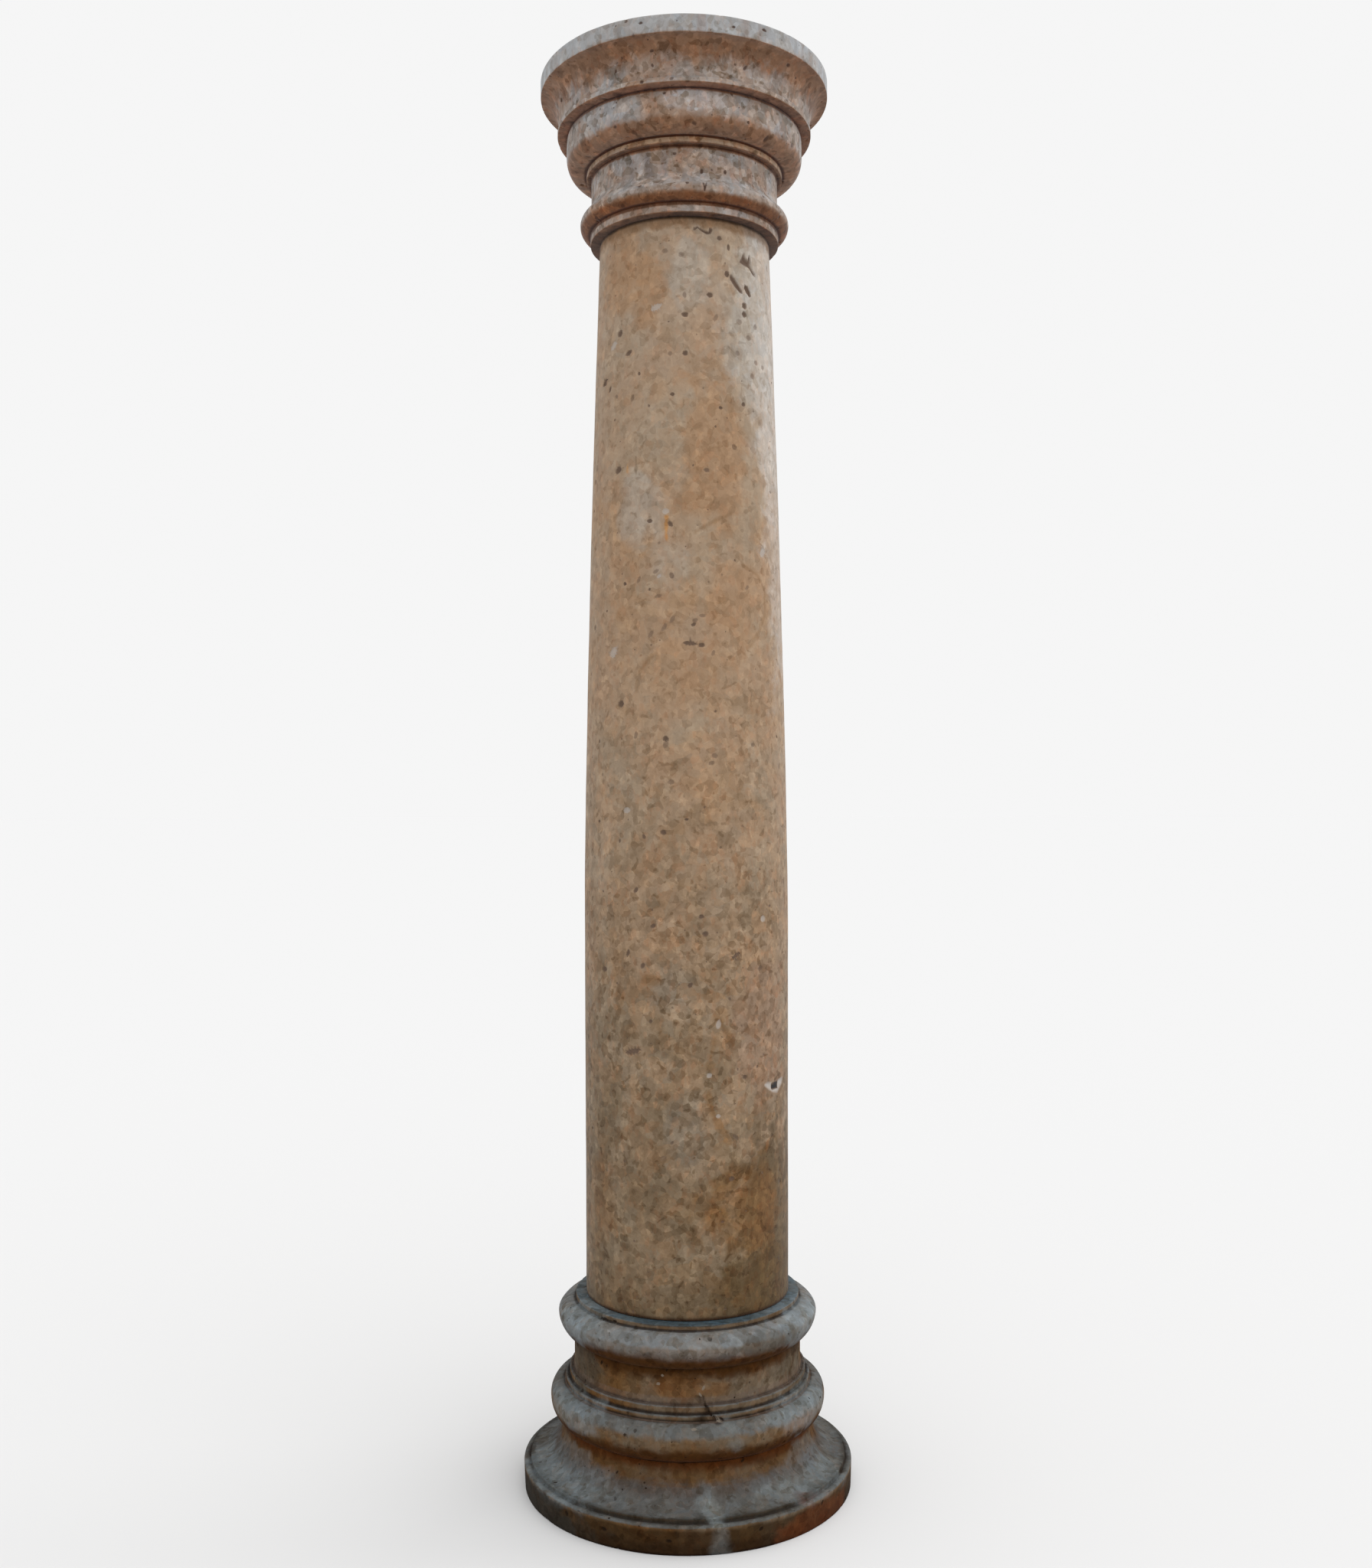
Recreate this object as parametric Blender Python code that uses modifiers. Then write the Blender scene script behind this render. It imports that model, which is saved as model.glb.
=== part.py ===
"""Tuscan column in travertine: a round moulded base, a swelling shaft and a round capital.

Each of the three is one turned stone. Units are metres and +Z is up. The origin is on the
ground, on the column's axis. Every outline is worked out from the bottom upwards as pairs of
radius and height. Radii grow outwards from the shaft, each from the one it springs from, and
heights are stacked, so the stones still fit when one size is changed.
"""
import math

import bpy

# Bed joints

BED_JOINT = 0.0003

# Shaft

SHAFT_FOOT_RADIUS = 0.2278
SHAFT_SWELL_RADIUS = 0.2300
SHAFT_TOP_RADIUS = 0.1925
SHAFT_HEIGHT = 2.3570
SHAFT_SWELL_LEVEL = 0.8700
SHAFT_TAPER_POWER = 1.4

# Base, from the ground up

PLINTH_HEIGHT = 0.0590
PLINTH_BATTER = 0.0020
PLINTH_ARRIS = 0.0030
PLINTH_LEDGE = 0.0154
FLARE_LIP_HEIGHT = 0.0090
FLARE_HEIGHT = 0.0800
FLARE_WIDTH = 0.0771
LOWER_TORUS_HEIGHT = 0.0830
LOWER_TORUS_BELLY_LEVEL = 0.0490
LOWER_TORUS_PROJECTION = 0.0330
LOWER_TORUS_FOOT_SETBACK = 0.0090
LOWER_TORUS_FULLNESS = 2.1
LOWER_STEP_HEIGHT = 0.0120
LOWER_STEP_LEDGE = 0.0095
UPPER_STEP_HEIGHT = 0.0160
UPPER_STEP_LEDGE = 0.0090
SCOTIA_HEIGHT = 0.0745
SCOTIA_FLARE_HEIGHT = 0.0340
SCOTIA_FLARE = 0.0020
UPPER_TORUS_HEIGHT = 0.0770
UPPER_TORUS_BELLY_LEVEL = 0.0480
UPPER_TORUS_PROJECTION = 0.0382
UPPER_TORUS_FULLNESS = 1.75
BASE_FILLET_HEIGHT = 0.0120
BASE_FILLET_LEDGE = 0.0233
SCOTIA_WAIST_PROJECTION = 0.0029

# Capital, from the shaft up

CINCTURE_LEDGE = 0.0215
CINCTURE_HEIGHT = 0.0220
ASTRAGAL_PROJECTION = 0.0232
ASTRAGAL_HEIGHT = 0.0440
ASTRAGAL_SPRING_ANGLE = 55.0
NECK_SETBACK = 0.0020
NECK_SWEEP_HEIGHT = 0.0320
NECK_HEIGHT = 0.0520
NECK_FILLET_LEDGE = 0.0110
NECK_FILLET_HEIGHT = 0.0150
OVOLO_HEIGHT = 0.0835
OVOLO_BELLY_LEVEL = 0.0440
OVOLO_PROJECTION = 0.0450
OVOLO_TOP_SETBACK = 0.0060
OVOLO_FULLNESS = 3.0
CAVETTO_FILLET_PROJECTION = 0.0204
CAVETTO_FILLET_HEIGHT = 0.0120
CAVETTO_SETBACK = 0.0040
CAVETTO_HEIGHT = 0.0730
CAVETTO_WIDTH = 0.0356
ABACUS_OVERHANG = 0.0060
ABACUS_HEIGHT = 0.0404
ABACUS_ARRIS = 0.0025

# Fineness of the turned surfaces

SIDES = 48
QUARTER_STEPS = 6
SHAFT_STEPS = 10
SHARP_ANGLE = math.radians(28.0)


def quarter_curve(inner, outer, start, end, fullness, rising_out):
    """Points of a quarter curve between two radii and two heights, ends included.

    fullness 2 is a quarter ellipse, more is fuller and less is leaner. rising_out is True
    where the radius grows with the height, as on the lower half of a torus.
    """
    points = []
    for step in range(QUARTER_STEPS + 1):
        angle = math.radians(90.0) * step / QUARTER_STEPS
        across = math.sin(angle) if rising_out else math.cos(angle)
        along = math.cos(angle) if rising_out else math.sin(angle)
        size = (across ** fullness + along ** fullness) ** (-1.0 / fullness)
        share = 1.0 - size * along if rising_out else size * along
        points.append((inner + (outer - inner) * size * across, start + (end - start) * share))
    return points


def torus_curve(foot, belly, crown, start, belly_level, height, fullness):
    """A convex moulding: out from the foot radius to the belly, then in to the crown."""
    middle = start + belly_level
    lower = quarter_curve(foot, belly, start, middle, fullness, True)
    upper = quarter_curve(crown, belly, middle, start + height, fullness, False)
    return lower + upper[1:]


def base_outline():
    """The base: plinth disc, flare, lower torus, two steps, scotia, upper torus, fillet."""
    fillet = SHAFT_FOOT_RADIUS + BASE_FILLET_LEDGE
    waist = fillet + SCOTIA_WAIST_PROJECTION
    scotia_foot = waist + SCOTIA_FLARE
    upper_step = scotia_foot + UPPER_STEP_LEDGE
    lower_step = upper_step + LOWER_STEP_LEDGE
    flare_neck = lower_step
    lip = flare_neck + FLARE_WIDTH
    plinth = lip + PLINTH_LEDGE

    points = [(plinth - PLINTH_BATTER, 0.0), (plinth, PLINTH_HEIGHT - PLINTH_ARRIS)]
    points += [(plinth - PLINTH_ARRIS, PLINTH_HEIGHT), (lip, PLINTH_HEIGHT)]

    level = PLINTH_HEIGHT + FLARE_LIP_HEIGHT
    for step in range(QUARTER_STEPS + 1):
        angle = math.radians(90.0) * step / QUARTER_STEPS
        radius = lip - FLARE_WIDTH * math.sin(angle)
        points.append((radius, level + FLARE_HEIGHT * (1.0 - math.cos(angle))))
    level += FLARE_HEIGHT

    foot = flare_neck - LOWER_TORUS_FOOT_SETBACK
    belly = lower_step + LOWER_TORUS_PROJECTION
    points += torus_curve(foot, belly, lower_step, level, LOWER_TORUS_BELLY_LEVEL,
                          LOWER_TORUS_HEIGHT, LOWER_TORUS_FULLNESS)
    level += LOWER_TORUS_HEIGHT

    points.append((lower_step, level + LOWER_STEP_HEIGHT))
    level += LOWER_STEP_HEIGHT
    points += [(upper_step, level), (upper_step, level + UPPER_STEP_HEIGHT)]
    level += UPPER_STEP_HEIGHT

    points.append((scotia_foot, level))
    for step in range(1, QUARTER_STEPS // 2 + 1):
        share = step / (QUARTER_STEPS // 2)
        radius = waist + SCOTIA_FLARE * (1.0 - share) ** 2
        points.append((radius, level + SCOTIA_FLARE_HEIGHT * share))
    level += SCOTIA_HEIGHT
    points.append((waist, level))

    belly = fillet + UPPER_TORUS_PROJECTION
    curve = torus_curve(waist, belly, fillet, level, UPPER_TORUS_BELLY_LEVEL,
                        UPPER_TORUS_HEIGHT, UPPER_TORUS_FULLNESS)
    points += curve[1:]
    level += UPPER_TORUS_HEIGHT

    points.append((fillet, level + BASE_FILLET_HEIGHT))
    return points


def shaft_outline(foot_level):
    """The shaft: nearly straight up to its swell, then drawn in along a curve to the top."""
    points = []
    for step in range(SHAFT_STEPS + 1):
        share = step / SHAFT_STEPS
        if share * SHAFT_HEIGHT <= SHAFT_SWELL_LEVEL:
            rise = share * SHAFT_HEIGHT / SHAFT_SWELL_LEVEL
            swell = rise * rise * (3.0 - 2.0 * rise)
            radius = SHAFT_FOOT_RADIUS + (SHAFT_SWELL_RADIUS - SHAFT_FOOT_RADIUS) * swell
        else:
            rise = (share * SHAFT_HEIGHT - SHAFT_SWELL_LEVEL) / (SHAFT_HEIGHT - SHAFT_SWELL_LEVEL)
            taper = (SHAFT_SWELL_RADIUS - SHAFT_TOP_RADIUS) * rise ** SHAFT_TAPER_POWER
            radius = SHAFT_SWELL_RADIUS - taper
        points.append((radius, foot_level + share * SHAFT_HEIGHT))
    return points


def capital_outline(foot_level):
    """The capital: cincture, astragal, neck, fillet, ovolo, fillet, cavetto and abacus."""
    cincture = SHAFT_TOP_RADIUS + CINCTURE_LEDGE
    neck = cincture - NECK_SETBACK
    neck_fillet = neck + NECK_FILLET_LEDGE
    ovolo = neck_fillet + OVOLO_PROJECTION
    cavetto_fillet = ovolo + CAVETTO_FILLET_PROJECTION
    cavetto_foot = cavetto_fillet - CAVETTO_SETBACK
    cavetto_head = cavetto_foot + CAVETTO_WIDTH
    abacus = cavetto_head + ABACUS_OVERHANG

    level = foot_level + CINCTURE_HEIGHT
    points = [(cincture, foot_level), (cincture, level)]

    spring = math.radians(ASTRAGAL_SPRING_ANGLE)
    middle = level + ASTRAGAL_HEIGHT / 2.0
    arc_steps = QUARTER_STEPS + 2
    for step in range(1, arc_steps + 1):
        angle = -math.pi / 2.0 + (math.pi / 2.0 + spring) * step / arc_steps
        radius = cincture + ASTRAGAL_PROJECTION * math.cos(angle)
        points.append((radius, middle + ASTRAGAL_HEIGHT / 2.0 * math.sin(angle)))

    sweep_foot, sweep_level = points[-1]
    sweep_steps = QUARTER_STEPS // 2
    for step in range(1, sweep_steps + 1):
        share = step / sweep_steps
        radius = neck + (sweep_foot - neck) * (1.0 - share) ** 2
        points.append((radius, sweep_level + NECK_SWEEP_HEIGHT * share))
    level = sweep_level + NECK_SWEEP_HEIGHT + NECK_HEIGHT
    points.append((neck, level))

    points.append((neck_fillet, level))
    level += NECK_FILLET_HEIGHT
    points += torus_curve(neck_fillet, ovolo, ovolo - OVOLO_TOP_SETBACK, level,
                          OVOLO_BELLY_LEVEL, OVOLO_HEIGHT, OVOLO_FULLNESS)
    level += OVOLO_HEIGHT

    points.append((cavetto_fillet, level))
    level += CAVETTO_FILLET_HEIGHT
    points += [(cavetto_fillet, level), (cavetto_foot, level)]

    for step in range(1, QUARTER_STEPS + 1):
        angle = math.radians(90.0) * step / QUARTER_STEPS
        radius = cavetto_head - CAVETTO_WIDTH * math.cos(angle)
        points.append((radius, level + CAVETTO_HEIGHT * math.sin(angle)))
    level += CAVETTO_HEIGHT

    points.append((abacus, level))
    level += ABACUS_HEIGHT
    points += [(abacus, level - ABACUS_ARRIS), (abacus - ABACUS_ARRIS, level)]
    return points


def turned_stone(name, outline, material):
    """Turn an outline, given from the bottom up, about the Z axis into one closed stone."""
    top = outline[-1][1]
    bottom = outline[0][1]
    path = [(0.0, top)] + outline[::-1] + [(0.0, bottom)]
    mesh = bpy.data.meshes.new(name + "_outline")
    edges = [(index, index + 1) for index in range(len(path) - 1)]
    mesh.from_pydata([(radius, 0.0, height) for radius, height in path], edges, [])

    stone = bpy.data.objects.new(name, mesh)
    bpy.data.collections["tuscan_column"].objects.link(stone)
    screw = stone.modifiers.new("turning", "SCREW")
    screw.axis = "Z"
    screw.angle = 2.0 * math.pi
    screw.steps = SIDES
    screw.render_steps = SIDES
    screw.use_merge_vertices = True
    screw.merge_threshold = 0.0001

    bpy.context.view_layer.update()
    depsgraph = bpy.context.evaluated_depsgraph_get()
    solid = bpy.data.meshes.new_from_object(stone.evaluated_get(depsgraph))
    stone.modifiers.clear()
    stone.data = solid
    bpy.data.meshes.remove(mesh)
    solid.name = name
    solid.shade_smooth()
    solid.set_sharp_from_angle(angle=SHARP_ANGLE)
    solid.materials.clear()
    solid.materials.append(material)
    return stone


def travertine(name, colour, roughness):
    """A plain weathered stone finish."""
    material = bpy.data.materials.new(name)
    material.use_nodes = True
    shader = material.node_tree.nodes["Principled BSDF"]
    shader.inputs["Base Color"].default_value = (*colour, 1.0)
    shader.inputs["Roughness"].default_value = roughness
    shader.inputs["Metallic"].default_value = 0.0
    material.diffuse_color = (*colour, 1.0)
    return material


def base_stone():
    """Grey and brown: the stone nearest the ground, the most stained."""
    return travertine("base_stone", (0.145, 0.122, 0.100), 0.88)


def shaft_stone():
    """Warm tan stone."""
    return travertine("shaft_stone", (0.215, 0.155, 0.112), 0.85)


def capital_stone():
    """Grey brown stone, cooler than the shaft."""
    return travertine("capital_stone", (0.220, 0.170, 0.145), 0.86)


def make_base():
    """The stone that stands on the ground."""
    return turned_stone("base", base_outline(), base_stone())


def make_shaft(bed_level):
    """The stone that stands on the base."""
    return turned_stone("shaft", shaft_outline(bed_level + BED_JOINT), shaft_stone())


def make_capital(bed_level):
    """The stone that crowns the shaft."""
    return turned_stone("capital", capital_outline(bed_level + BED_JOINT), capital_stone())


def top_level(outline):
    """Height of an outline's last point."""
    return outline[-1][1]


def clear_scene():
    """Remove every object in the file and make the column's own collection."""
    for obj in list(bpy.data.objects):
        bpy.data.objects.remove(obj, do_unlink=True)
    collection = bpy.data.collections.new("tuscan_column")
    bpy.context.scene.collection.children.link(collection)


def main():
    clear_scene()
    base_top = top_level(base_outline())
    shaft_top = top_level(shaft_outline(base_top + BED_JOINT))
    make_base()
    make_shaft(base_top)
    make_capital(shaft_top)


main()
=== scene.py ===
# %% [markdown]
# ## A weathered travertine column
# The real object is a small Tuscan column: three turned stones, stacked. Time has pitted the
# stone. Its sheltered undersides are brown, partly crust and partly painted shade, and what the
# rain reaches is pale, partly bleaching and partly painted sky light.
# The solids of the three stones are loaded first. They give every size in this file, so the
# finished surface can't drift away from them.

# %% Load the column's frame
import math
import random

import bmesh
import bpy
import numpy as np
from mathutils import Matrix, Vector, noise
from mathutils.geometry import delaunay_2d_cdt


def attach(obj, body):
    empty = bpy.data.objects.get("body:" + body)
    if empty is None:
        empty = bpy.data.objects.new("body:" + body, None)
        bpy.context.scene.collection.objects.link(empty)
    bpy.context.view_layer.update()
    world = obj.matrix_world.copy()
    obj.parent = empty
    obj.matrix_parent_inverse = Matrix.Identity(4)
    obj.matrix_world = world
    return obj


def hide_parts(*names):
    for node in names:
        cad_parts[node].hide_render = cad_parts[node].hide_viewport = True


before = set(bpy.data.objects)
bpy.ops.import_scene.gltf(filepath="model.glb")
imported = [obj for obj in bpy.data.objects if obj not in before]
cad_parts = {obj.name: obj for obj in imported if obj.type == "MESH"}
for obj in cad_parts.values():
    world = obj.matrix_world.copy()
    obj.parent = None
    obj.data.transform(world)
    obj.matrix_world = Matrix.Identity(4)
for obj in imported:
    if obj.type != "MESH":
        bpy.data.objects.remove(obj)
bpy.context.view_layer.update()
print("stones:", sorted(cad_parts))

# %% [markdown]
# ## Camera
# The picture was taken by someone standing in front of the column with a short zoom lens. The
# rings of the column show it: they curve down below eye level and up above it, and they are
# straight at the height of the lens. The camera could be aimed by hand until the curves agree.
# Here the distance, the eye height and the lens are set as numbers, because they can be
# measured from how open the lowest and the highest ring look.

# %% Camera
EYE_HEIGHT = 1.509
STANDING_DISTANCE = 3.40
LOOKING_UP = math.radians(0.84)
LEANING = math.radians(0.16)
LENS_MM = 34.4
SENSOR_MM = 36.0
FARTHEST_VIEW = 200.0

camera_data = bpy.data.cameras.new("standing_view")
camera_data.lens = LENS_MM
camera_data.sensor_width = SENSOR_MM
camera_data.clip_end = FARTHEST_VIEW
camera = bpy.data.objects.new("standing_view", camera_data)
camera.location = (0.0, -STANDING_DISTANCE, EYE_HEIGHT)
camera.rotation_euler = (math.radians(90.0) + LOOKING_UP, LEANING, 0.0)
bpy.context.scene.collection.objects.link(camera)
bpy.context.scene.camera = camera
print("lens:", LENS_MM, "mm at", STANDING_DISTANCE, "m")

# %% [markdown]
# ## Colours and nodes
# Stone colours are easier to choose as the numbers of a colour picker, from 0 to 255, but the
# renderer wants linear light. One small helper converts them. A second one adds a node and
# fills its sockets, and the rest name the few sums that every finish needs, so that each finish
# below reads as a short recipe. The nodes could be clicked together in the shader editor, but
# then three finishes would be three big trees to keep in step.

# %% Helpers for colours and nodes
def paint(red, green, blue):
    """A colour picker's red, green and blue as the renderer's linear colour, by the sRGB curve."""
    shares = [value / 255.0 for value in (red, green, blue)]
    linear = [s / 12.92 if s <= 0.04045 else ((s + 0.055) / 1.055) ** 2.4 for s in shares]
    return (*linear, 1.0)


def add_node(tree, kind, inputs=None, **settings):
    """Add a node, set its options, and fill its sockets with values or links."""
    new = tree.nodes.new(kind)
    for name, value in settings.items():
        setattr(new, name, value)
    for key, value in (inputs or {}).items():
        if isinstance(value, bpy.types.NodeSocket):
            tree.links.new(value, new.inputs[key])
        else:
            new.inputs[key].default_value = value
    return new


print("tan stone in linear light:", [round(value, 3) for value in paint(158, 132, 104)[:3]])

# %% Mixing colours and masks
def blend(tree, factor, first, second, mode="MIX"):
    """Mix two colours. Factor 0 gives the first and 1 the second."""
    # On this node, inputs 6 and 7 and output 2 are the ones for colours
    mix = add_node(tree, "ShaderNodeMix", data_type="RGBA", blend_type=mode,
                   inputs={0: factor, 6: first, 7: second})
    return mix.outputs[2]


def between(tree, value, low, high, smooth=True):
    """A mask that is 0 where the value is at low and 1 where it is at high."""
    kind = "SMOOTHSTEP" if smooth else "LINEAR"
    ranged = add_node(tree, "ShaderNodeMapRange", interpolation_type=kind, clamp=True,
                      inputs={"Value": value, "From Min": low, "From Max": high})
    return ranged.outputs["Result"]


def times(tree, first, second):
    """Two values or masks multiplied."""
    return add_node(tree, "ShaderNodeMath", operation="MULTIPLY", inputs={0: first, 1: second}).outputs[0]


def plus(tree, base, value, share):
    """A base value plus a share of another value."""
    added = add_node(tree, "ShaderNodeMath", operation="MULTIPLY_ADD",
                     inputs={0: value, 1: share, 2: base})
    return added.outputs[0]


def glaze(tree, colour, tone, mask, strength):
    """Lay a tone over a colour, as thick as the mask times the strength."""
    return blend(tree, times(tree, mask, strength), colour, tone)


print("a glaze of 0.5 lets half of the colour below show")

# %% [markdown]
# ## Floor and light
# The column is shown in a bright photographer's studio: a pale floor that runs back out of sight
# under a pale backdrop of the same tone, so that no horizon line competes with the stone. The
# backdrop is the world's own colour, and it gives the soft light of an overcast sky. One very
# wide lamp high on the right makes the tops of the mouldings lighter than their undersides, and
# a weaker one from behind draws a light edge down the right side. Both are Sun lamps with a
# wide angle, because those light the far floor just as much as the near.

# %% Floor and backdrop
FLOOR_SIZE = 400.0
BACKDROP = 0.92
# Strength, then width, height and turn to the right in degrees
LAMPS = {"wide_lamp": (1.1, 70.0, 58.0, 40.0), "edge_lamp": (0.8, 50.0, 28.0, 120.0)}

# The floor sends back as much light as the backdrop sends out
lamp_light = sum(strength * math.sin(math.radians(high)) for strength, _, high, _ in LAMPS.values())
floor_tone = BACKDROP / (BACKDROP + lamp_light / math.pi)
half = FLOOR_SIZE / 2.0
floor_mesh = bpy.data.meshes.new("floor")
floor_mesh.from_pydata([(-half, -half, 0), (half, -half, 0), (half, half, 0), (-half, half, 0)],
                       [], [(0, 1, 2, 3)])
floor = bpy.data.objects.new("floor", floor_mesh)
bpy.context.scene.collection.objects.link(floor)
floor_finish = bpy.data.materials.new("pale_floor")
floor_finish.use_nodes = True
floor_shader = floor_finish.node_tree.nodes["Principled BSDF"]
floor_shader.inputs["Base Color"].default_value = (floor_tone, floor_tone, floor_tone, 1.0)
floor_shader.inputs["Roughness"].default_value = 1.0
floor_shader.inputs["Specular IOR Level"].default_value = 0.0
floor_mesh.materials.append(floor_finish)

world = bpy.data.worlds.new("soft_backdrop")
world.use_nodes = True
background = world.node_tree.nodes["Background"]
background.inputs["Color"].default_value = (1.0, 1.0, 1.0, 1.0)
background.inputs["Strength"].default_value = BACKDROP
bpy.context.scene.world = world
bpy.context.scene.view_settings.view_transform = "Standard"
print("floor tone:", round(floor_tone, 3))

# %% Lamps
for lamp_name, (strength, width, high, right) in LAMPS.items():
    lamp_data = bpy.data.lights.new(lamp_name, "SUN")
    lamp_data.energy = strength
    lamp_data.angle = math.radians(width)
    lamp = bpy.data.objects.new(lamp_name, lamp_data)
    level = math.cos(math.radians(high))
    shining = Vector((-math.sin(math.radians(right)) * level, math.cos(math.radians(right)) * level,
                      -math.sin(math.radians(high))))
    lamp.rotation_euler = shining.to_track_quat("-Z", "Y").to_euler()
    bpy.context.scene.collection.objects.link(lamp)
    print(lamp_name, "shines from", high, "degrees up")

# %% [markdown]
# ## Reading a stone's outline
# A turned stone is known once its outline is known: radius and height, from the axis below up
# to the axis on top. The solids were turned from such an outline, so cutting one of them with
# the plane through the axis gives it back. Its points are put in order by always taking the
# lowest one left and, on a level ledge, the one nearest in radius.

# %% Outlines from the solids
ON_THE_PLANE = 1e-4
OFF_THE_AXIS = 1e-3


def outline_of(stone):
    """Radius and height of a stone's outline, from the axis underneath to the axis on top."""
    corners = np.array([tuple(vertex.co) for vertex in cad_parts[stone].data.vertices])
    cut = corners[(np.abs(corners[:, 1]) < ON_THE_PLANE) & (corners[:, 0] > OFF_THE_AXIS)]
    left = {(round(float(x), 4), round(float(z), 4)) for x, _, z in cut}
    path = [(0.0, min(height for _, height in left))]
    while left:
        last = path[-1][0]
        nearest = min(left, key=lambda point: (point[1], abs(point[0] - last)))
        path.append(nearest)
        left.discard(nearest)
    path.append((0.0, path[-1][1]))
    return path


outlines = {stone: outline_of(stone) for stone in ("base", "shaft", "capital")}
for stone, path in outlines.items():
    print(stone, "outline has", len(path), "points")

# %% [markdown]
# ## Easing the arrises
# Sharp corners, which masons call arrises, wear round in the open. Each corner of the outline
# is replaced by a short curve of a millimetre or two, and the long curves in between are drawn
# with many more points than the solids have. A Bevel and a Subdivision modifier could do both,
# but doing it on the outline keeps every ring of points level, which the next step needs.

# %% Corners and curves of an outline
CORNER_TURN = math.radians(38.0)
MOST_OF_A_SIDE = 0.4


def turn_at(before, here, after):
    """How far a path turns at a point, and whether it turns outwards."""
    first = (here[0] - before[0], here[1] - before[1])
    second = (after[0] - here[0], after[1] - here[1])
    cross = first[0] * second[1] - first[1] * second[0]
    dot = first[0] * second[0] + first[1] * second[1]
    return abs(math.atan2(cross, dot)), cross > 0.0


def toward(start, end, distance):
    """The point at a distance from start on the way to end, but never past most of a side."""
    length = math.dist(start, end)
    share = min(MOST_OF_A_SIDE, distance / max(length, 1e-9))
    return (start[0] + (end[0] - start[0]) * share, start[1] + (end[1] - start[1]) * share)


def curve_point(p0, p1, p2, p3, t):
    """A point on the smooth curve through p1 and p2, with p0 and p3 as their neighbours."""
    return tuple(0.5 * (2 * b + (c - a) * t + (2 * a - 5 * b + 4 * c - d) * t * t
                        + (3 * b - a - 3 * c + d) * t * t * t)
                 for a, b, c, d in zip(p0, p1, p2, p3))


print("a square corner turns", round(math.degrees(turn_at((0, 0), (1, 0), (1, 1))[0])), "degrees")

# %% Worn outlines
def worn_outline(path, ease, spacing, disc_spacing):
    """The outline with eased corners and fine curves. It also gives the places of its arrises."""
    flags = [True]
    outward = [False]
    for index in range(1, len(path) - 1):
        turn, outside = turn_at(path[index - 1], path[index], path[index + 1])
        flags.append(turn > CORNER_TURN)
        outward.append(outside)
    flags.append(True)
    outward.append(False)

    rows = []
    arrises = []
    for index in range(len(path) - 1):
        here, after = path[index], path[index + 1]
        start = here if index == 0 or not flags[index] else toward(here, after, ease)
        end = after if index == len(path) - 2 or not flags[index + 1] else toward(after, here, ease)
        before = here if flags[index] else path[index - 1]
        beyond = after if flags[index + 1] else path[index + 2]
        on_axis = min(here[0], after[0]) < OFF_THE_AXIS
        steps = max(1, math.ceil(math.dist(start, end) / (disc_spacing if on_axis else spacing)))
        curved = not flags[index] or not flags[index + 1]
        for step in range(steps):
            t = step / steps
            if curved:
                rows.append(curve_point(before, start, end, beyond, t))
            else:
                rows.append((start[0] + (end[0] - start[0]) * t, start[1] + (end[1] - start[1]) * t))
        rows.append(end)
        if index < len(path) - 2 and flags[index + 1]:
            leave = toward(after, path[index + 2], ease)
            rows.append(tuple((end[k] + 2.0 * after[k] + leave[k]) / 4.0 for k in (0, 1)))
            if outward[index + 1]:
                arrises.append(len(rows) - 1)
        elif index < len(path) - 2:
            rows.pop()
    return np.array(rows), arrises


sample_rows, sample_arrises = worn_outline(outlines["base"], 0.002, 0.004, 0.06)
print("base outline drawn with", len(sample_rows), "points and", len(sample_arrises), "worn arrises")

# %% [markdown]
# ## Where rain and sky light reach, and where dirt and shade stay
# Rain bleaches stone and washes dust off it. Where it can't reach, under a moulding, a brown
# crust stays, and a dark line of dirt settles in every inner corner. The same share of open sky
# also stands for light: the pale tone on open faces is partly painted sky light, and the brown
# under the mouldings and the dark lines in the corners are partly painted shade. Those facts
# explain most of the column's colours, so they are worth working out. For the rain and sky light,
# look along a fan of lines from each point of the outline and see whether another part of the
# column is in the way. For the dirt and shade in corners, measure how near the next inner corner
# is. Painting both by hand would also work, but it would have to be done again for each new shape.

# %% Inner corners
LEDGE_DIRT_AND_SHADE = 0.007
OVERHANG = 0.005

walls = np.array([(start, end) for path in outlines.values() for start, end in zip(path, path[1:])])
# First the corners that two stones make, and the ground and the base
shaft_foot = outlines["shaft"][1]
corners = [outlines["base"][1], shaft_foot, outlines["shaft"][-2]]
# Dirt and painted shade gather on the ledge against the foot of the shaft
corners.append((shaft_foot[0] + LEDGE_DIRT_AND_SHADE, shaft_foot[1]))
for stone, path in outlines.items():
    for before, here, after in zip(path, path[1:], path[2:]):
        turn, outside = turn_at(before, here, after)
        # High up, only the corners under a moulding get the dark line of dirt and painted shade
        under_moulding = after[0] > here[0] + OVERHANG
        if turn > CORNER_TURN and not outside and (stone != "capital" or under_moulding):
            corners.append(here)
print("inner corners:", len(corners))

# %% How much rain and sky light, and how much dirt and shade in corners, each row gets
FAN_OF_LINES = range(20, 90, 5)
CLEAR_OF_FACE = 0.0025


def sees_wall(eyes, way, reach):
    """Which points of an outline see some part of the column within reach, along one way."""
    spans = walls[:, 1] - walls[:, 0]
    gap = walls[None, :, 0] - eyes[:, None, :]
    turned = way[0] * spans[:, 1] - way[1] * spans[:, 0]
    turned = np.where(np.abs(turned) < 1e-9, 1e-9, turned)
    away = (gap[:, :, 0] * spans[:, 1] - gap[:, :, 1] * spans[:, 0]) / turned
    share = (gap[:, :, 0] * way[1] - gap[:, :, 1] * way[0]) / turned
    return ((away > 0.0) & (away < reach) & (share > 0.0) & (share < 1.0)).any(axis=1)


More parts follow.
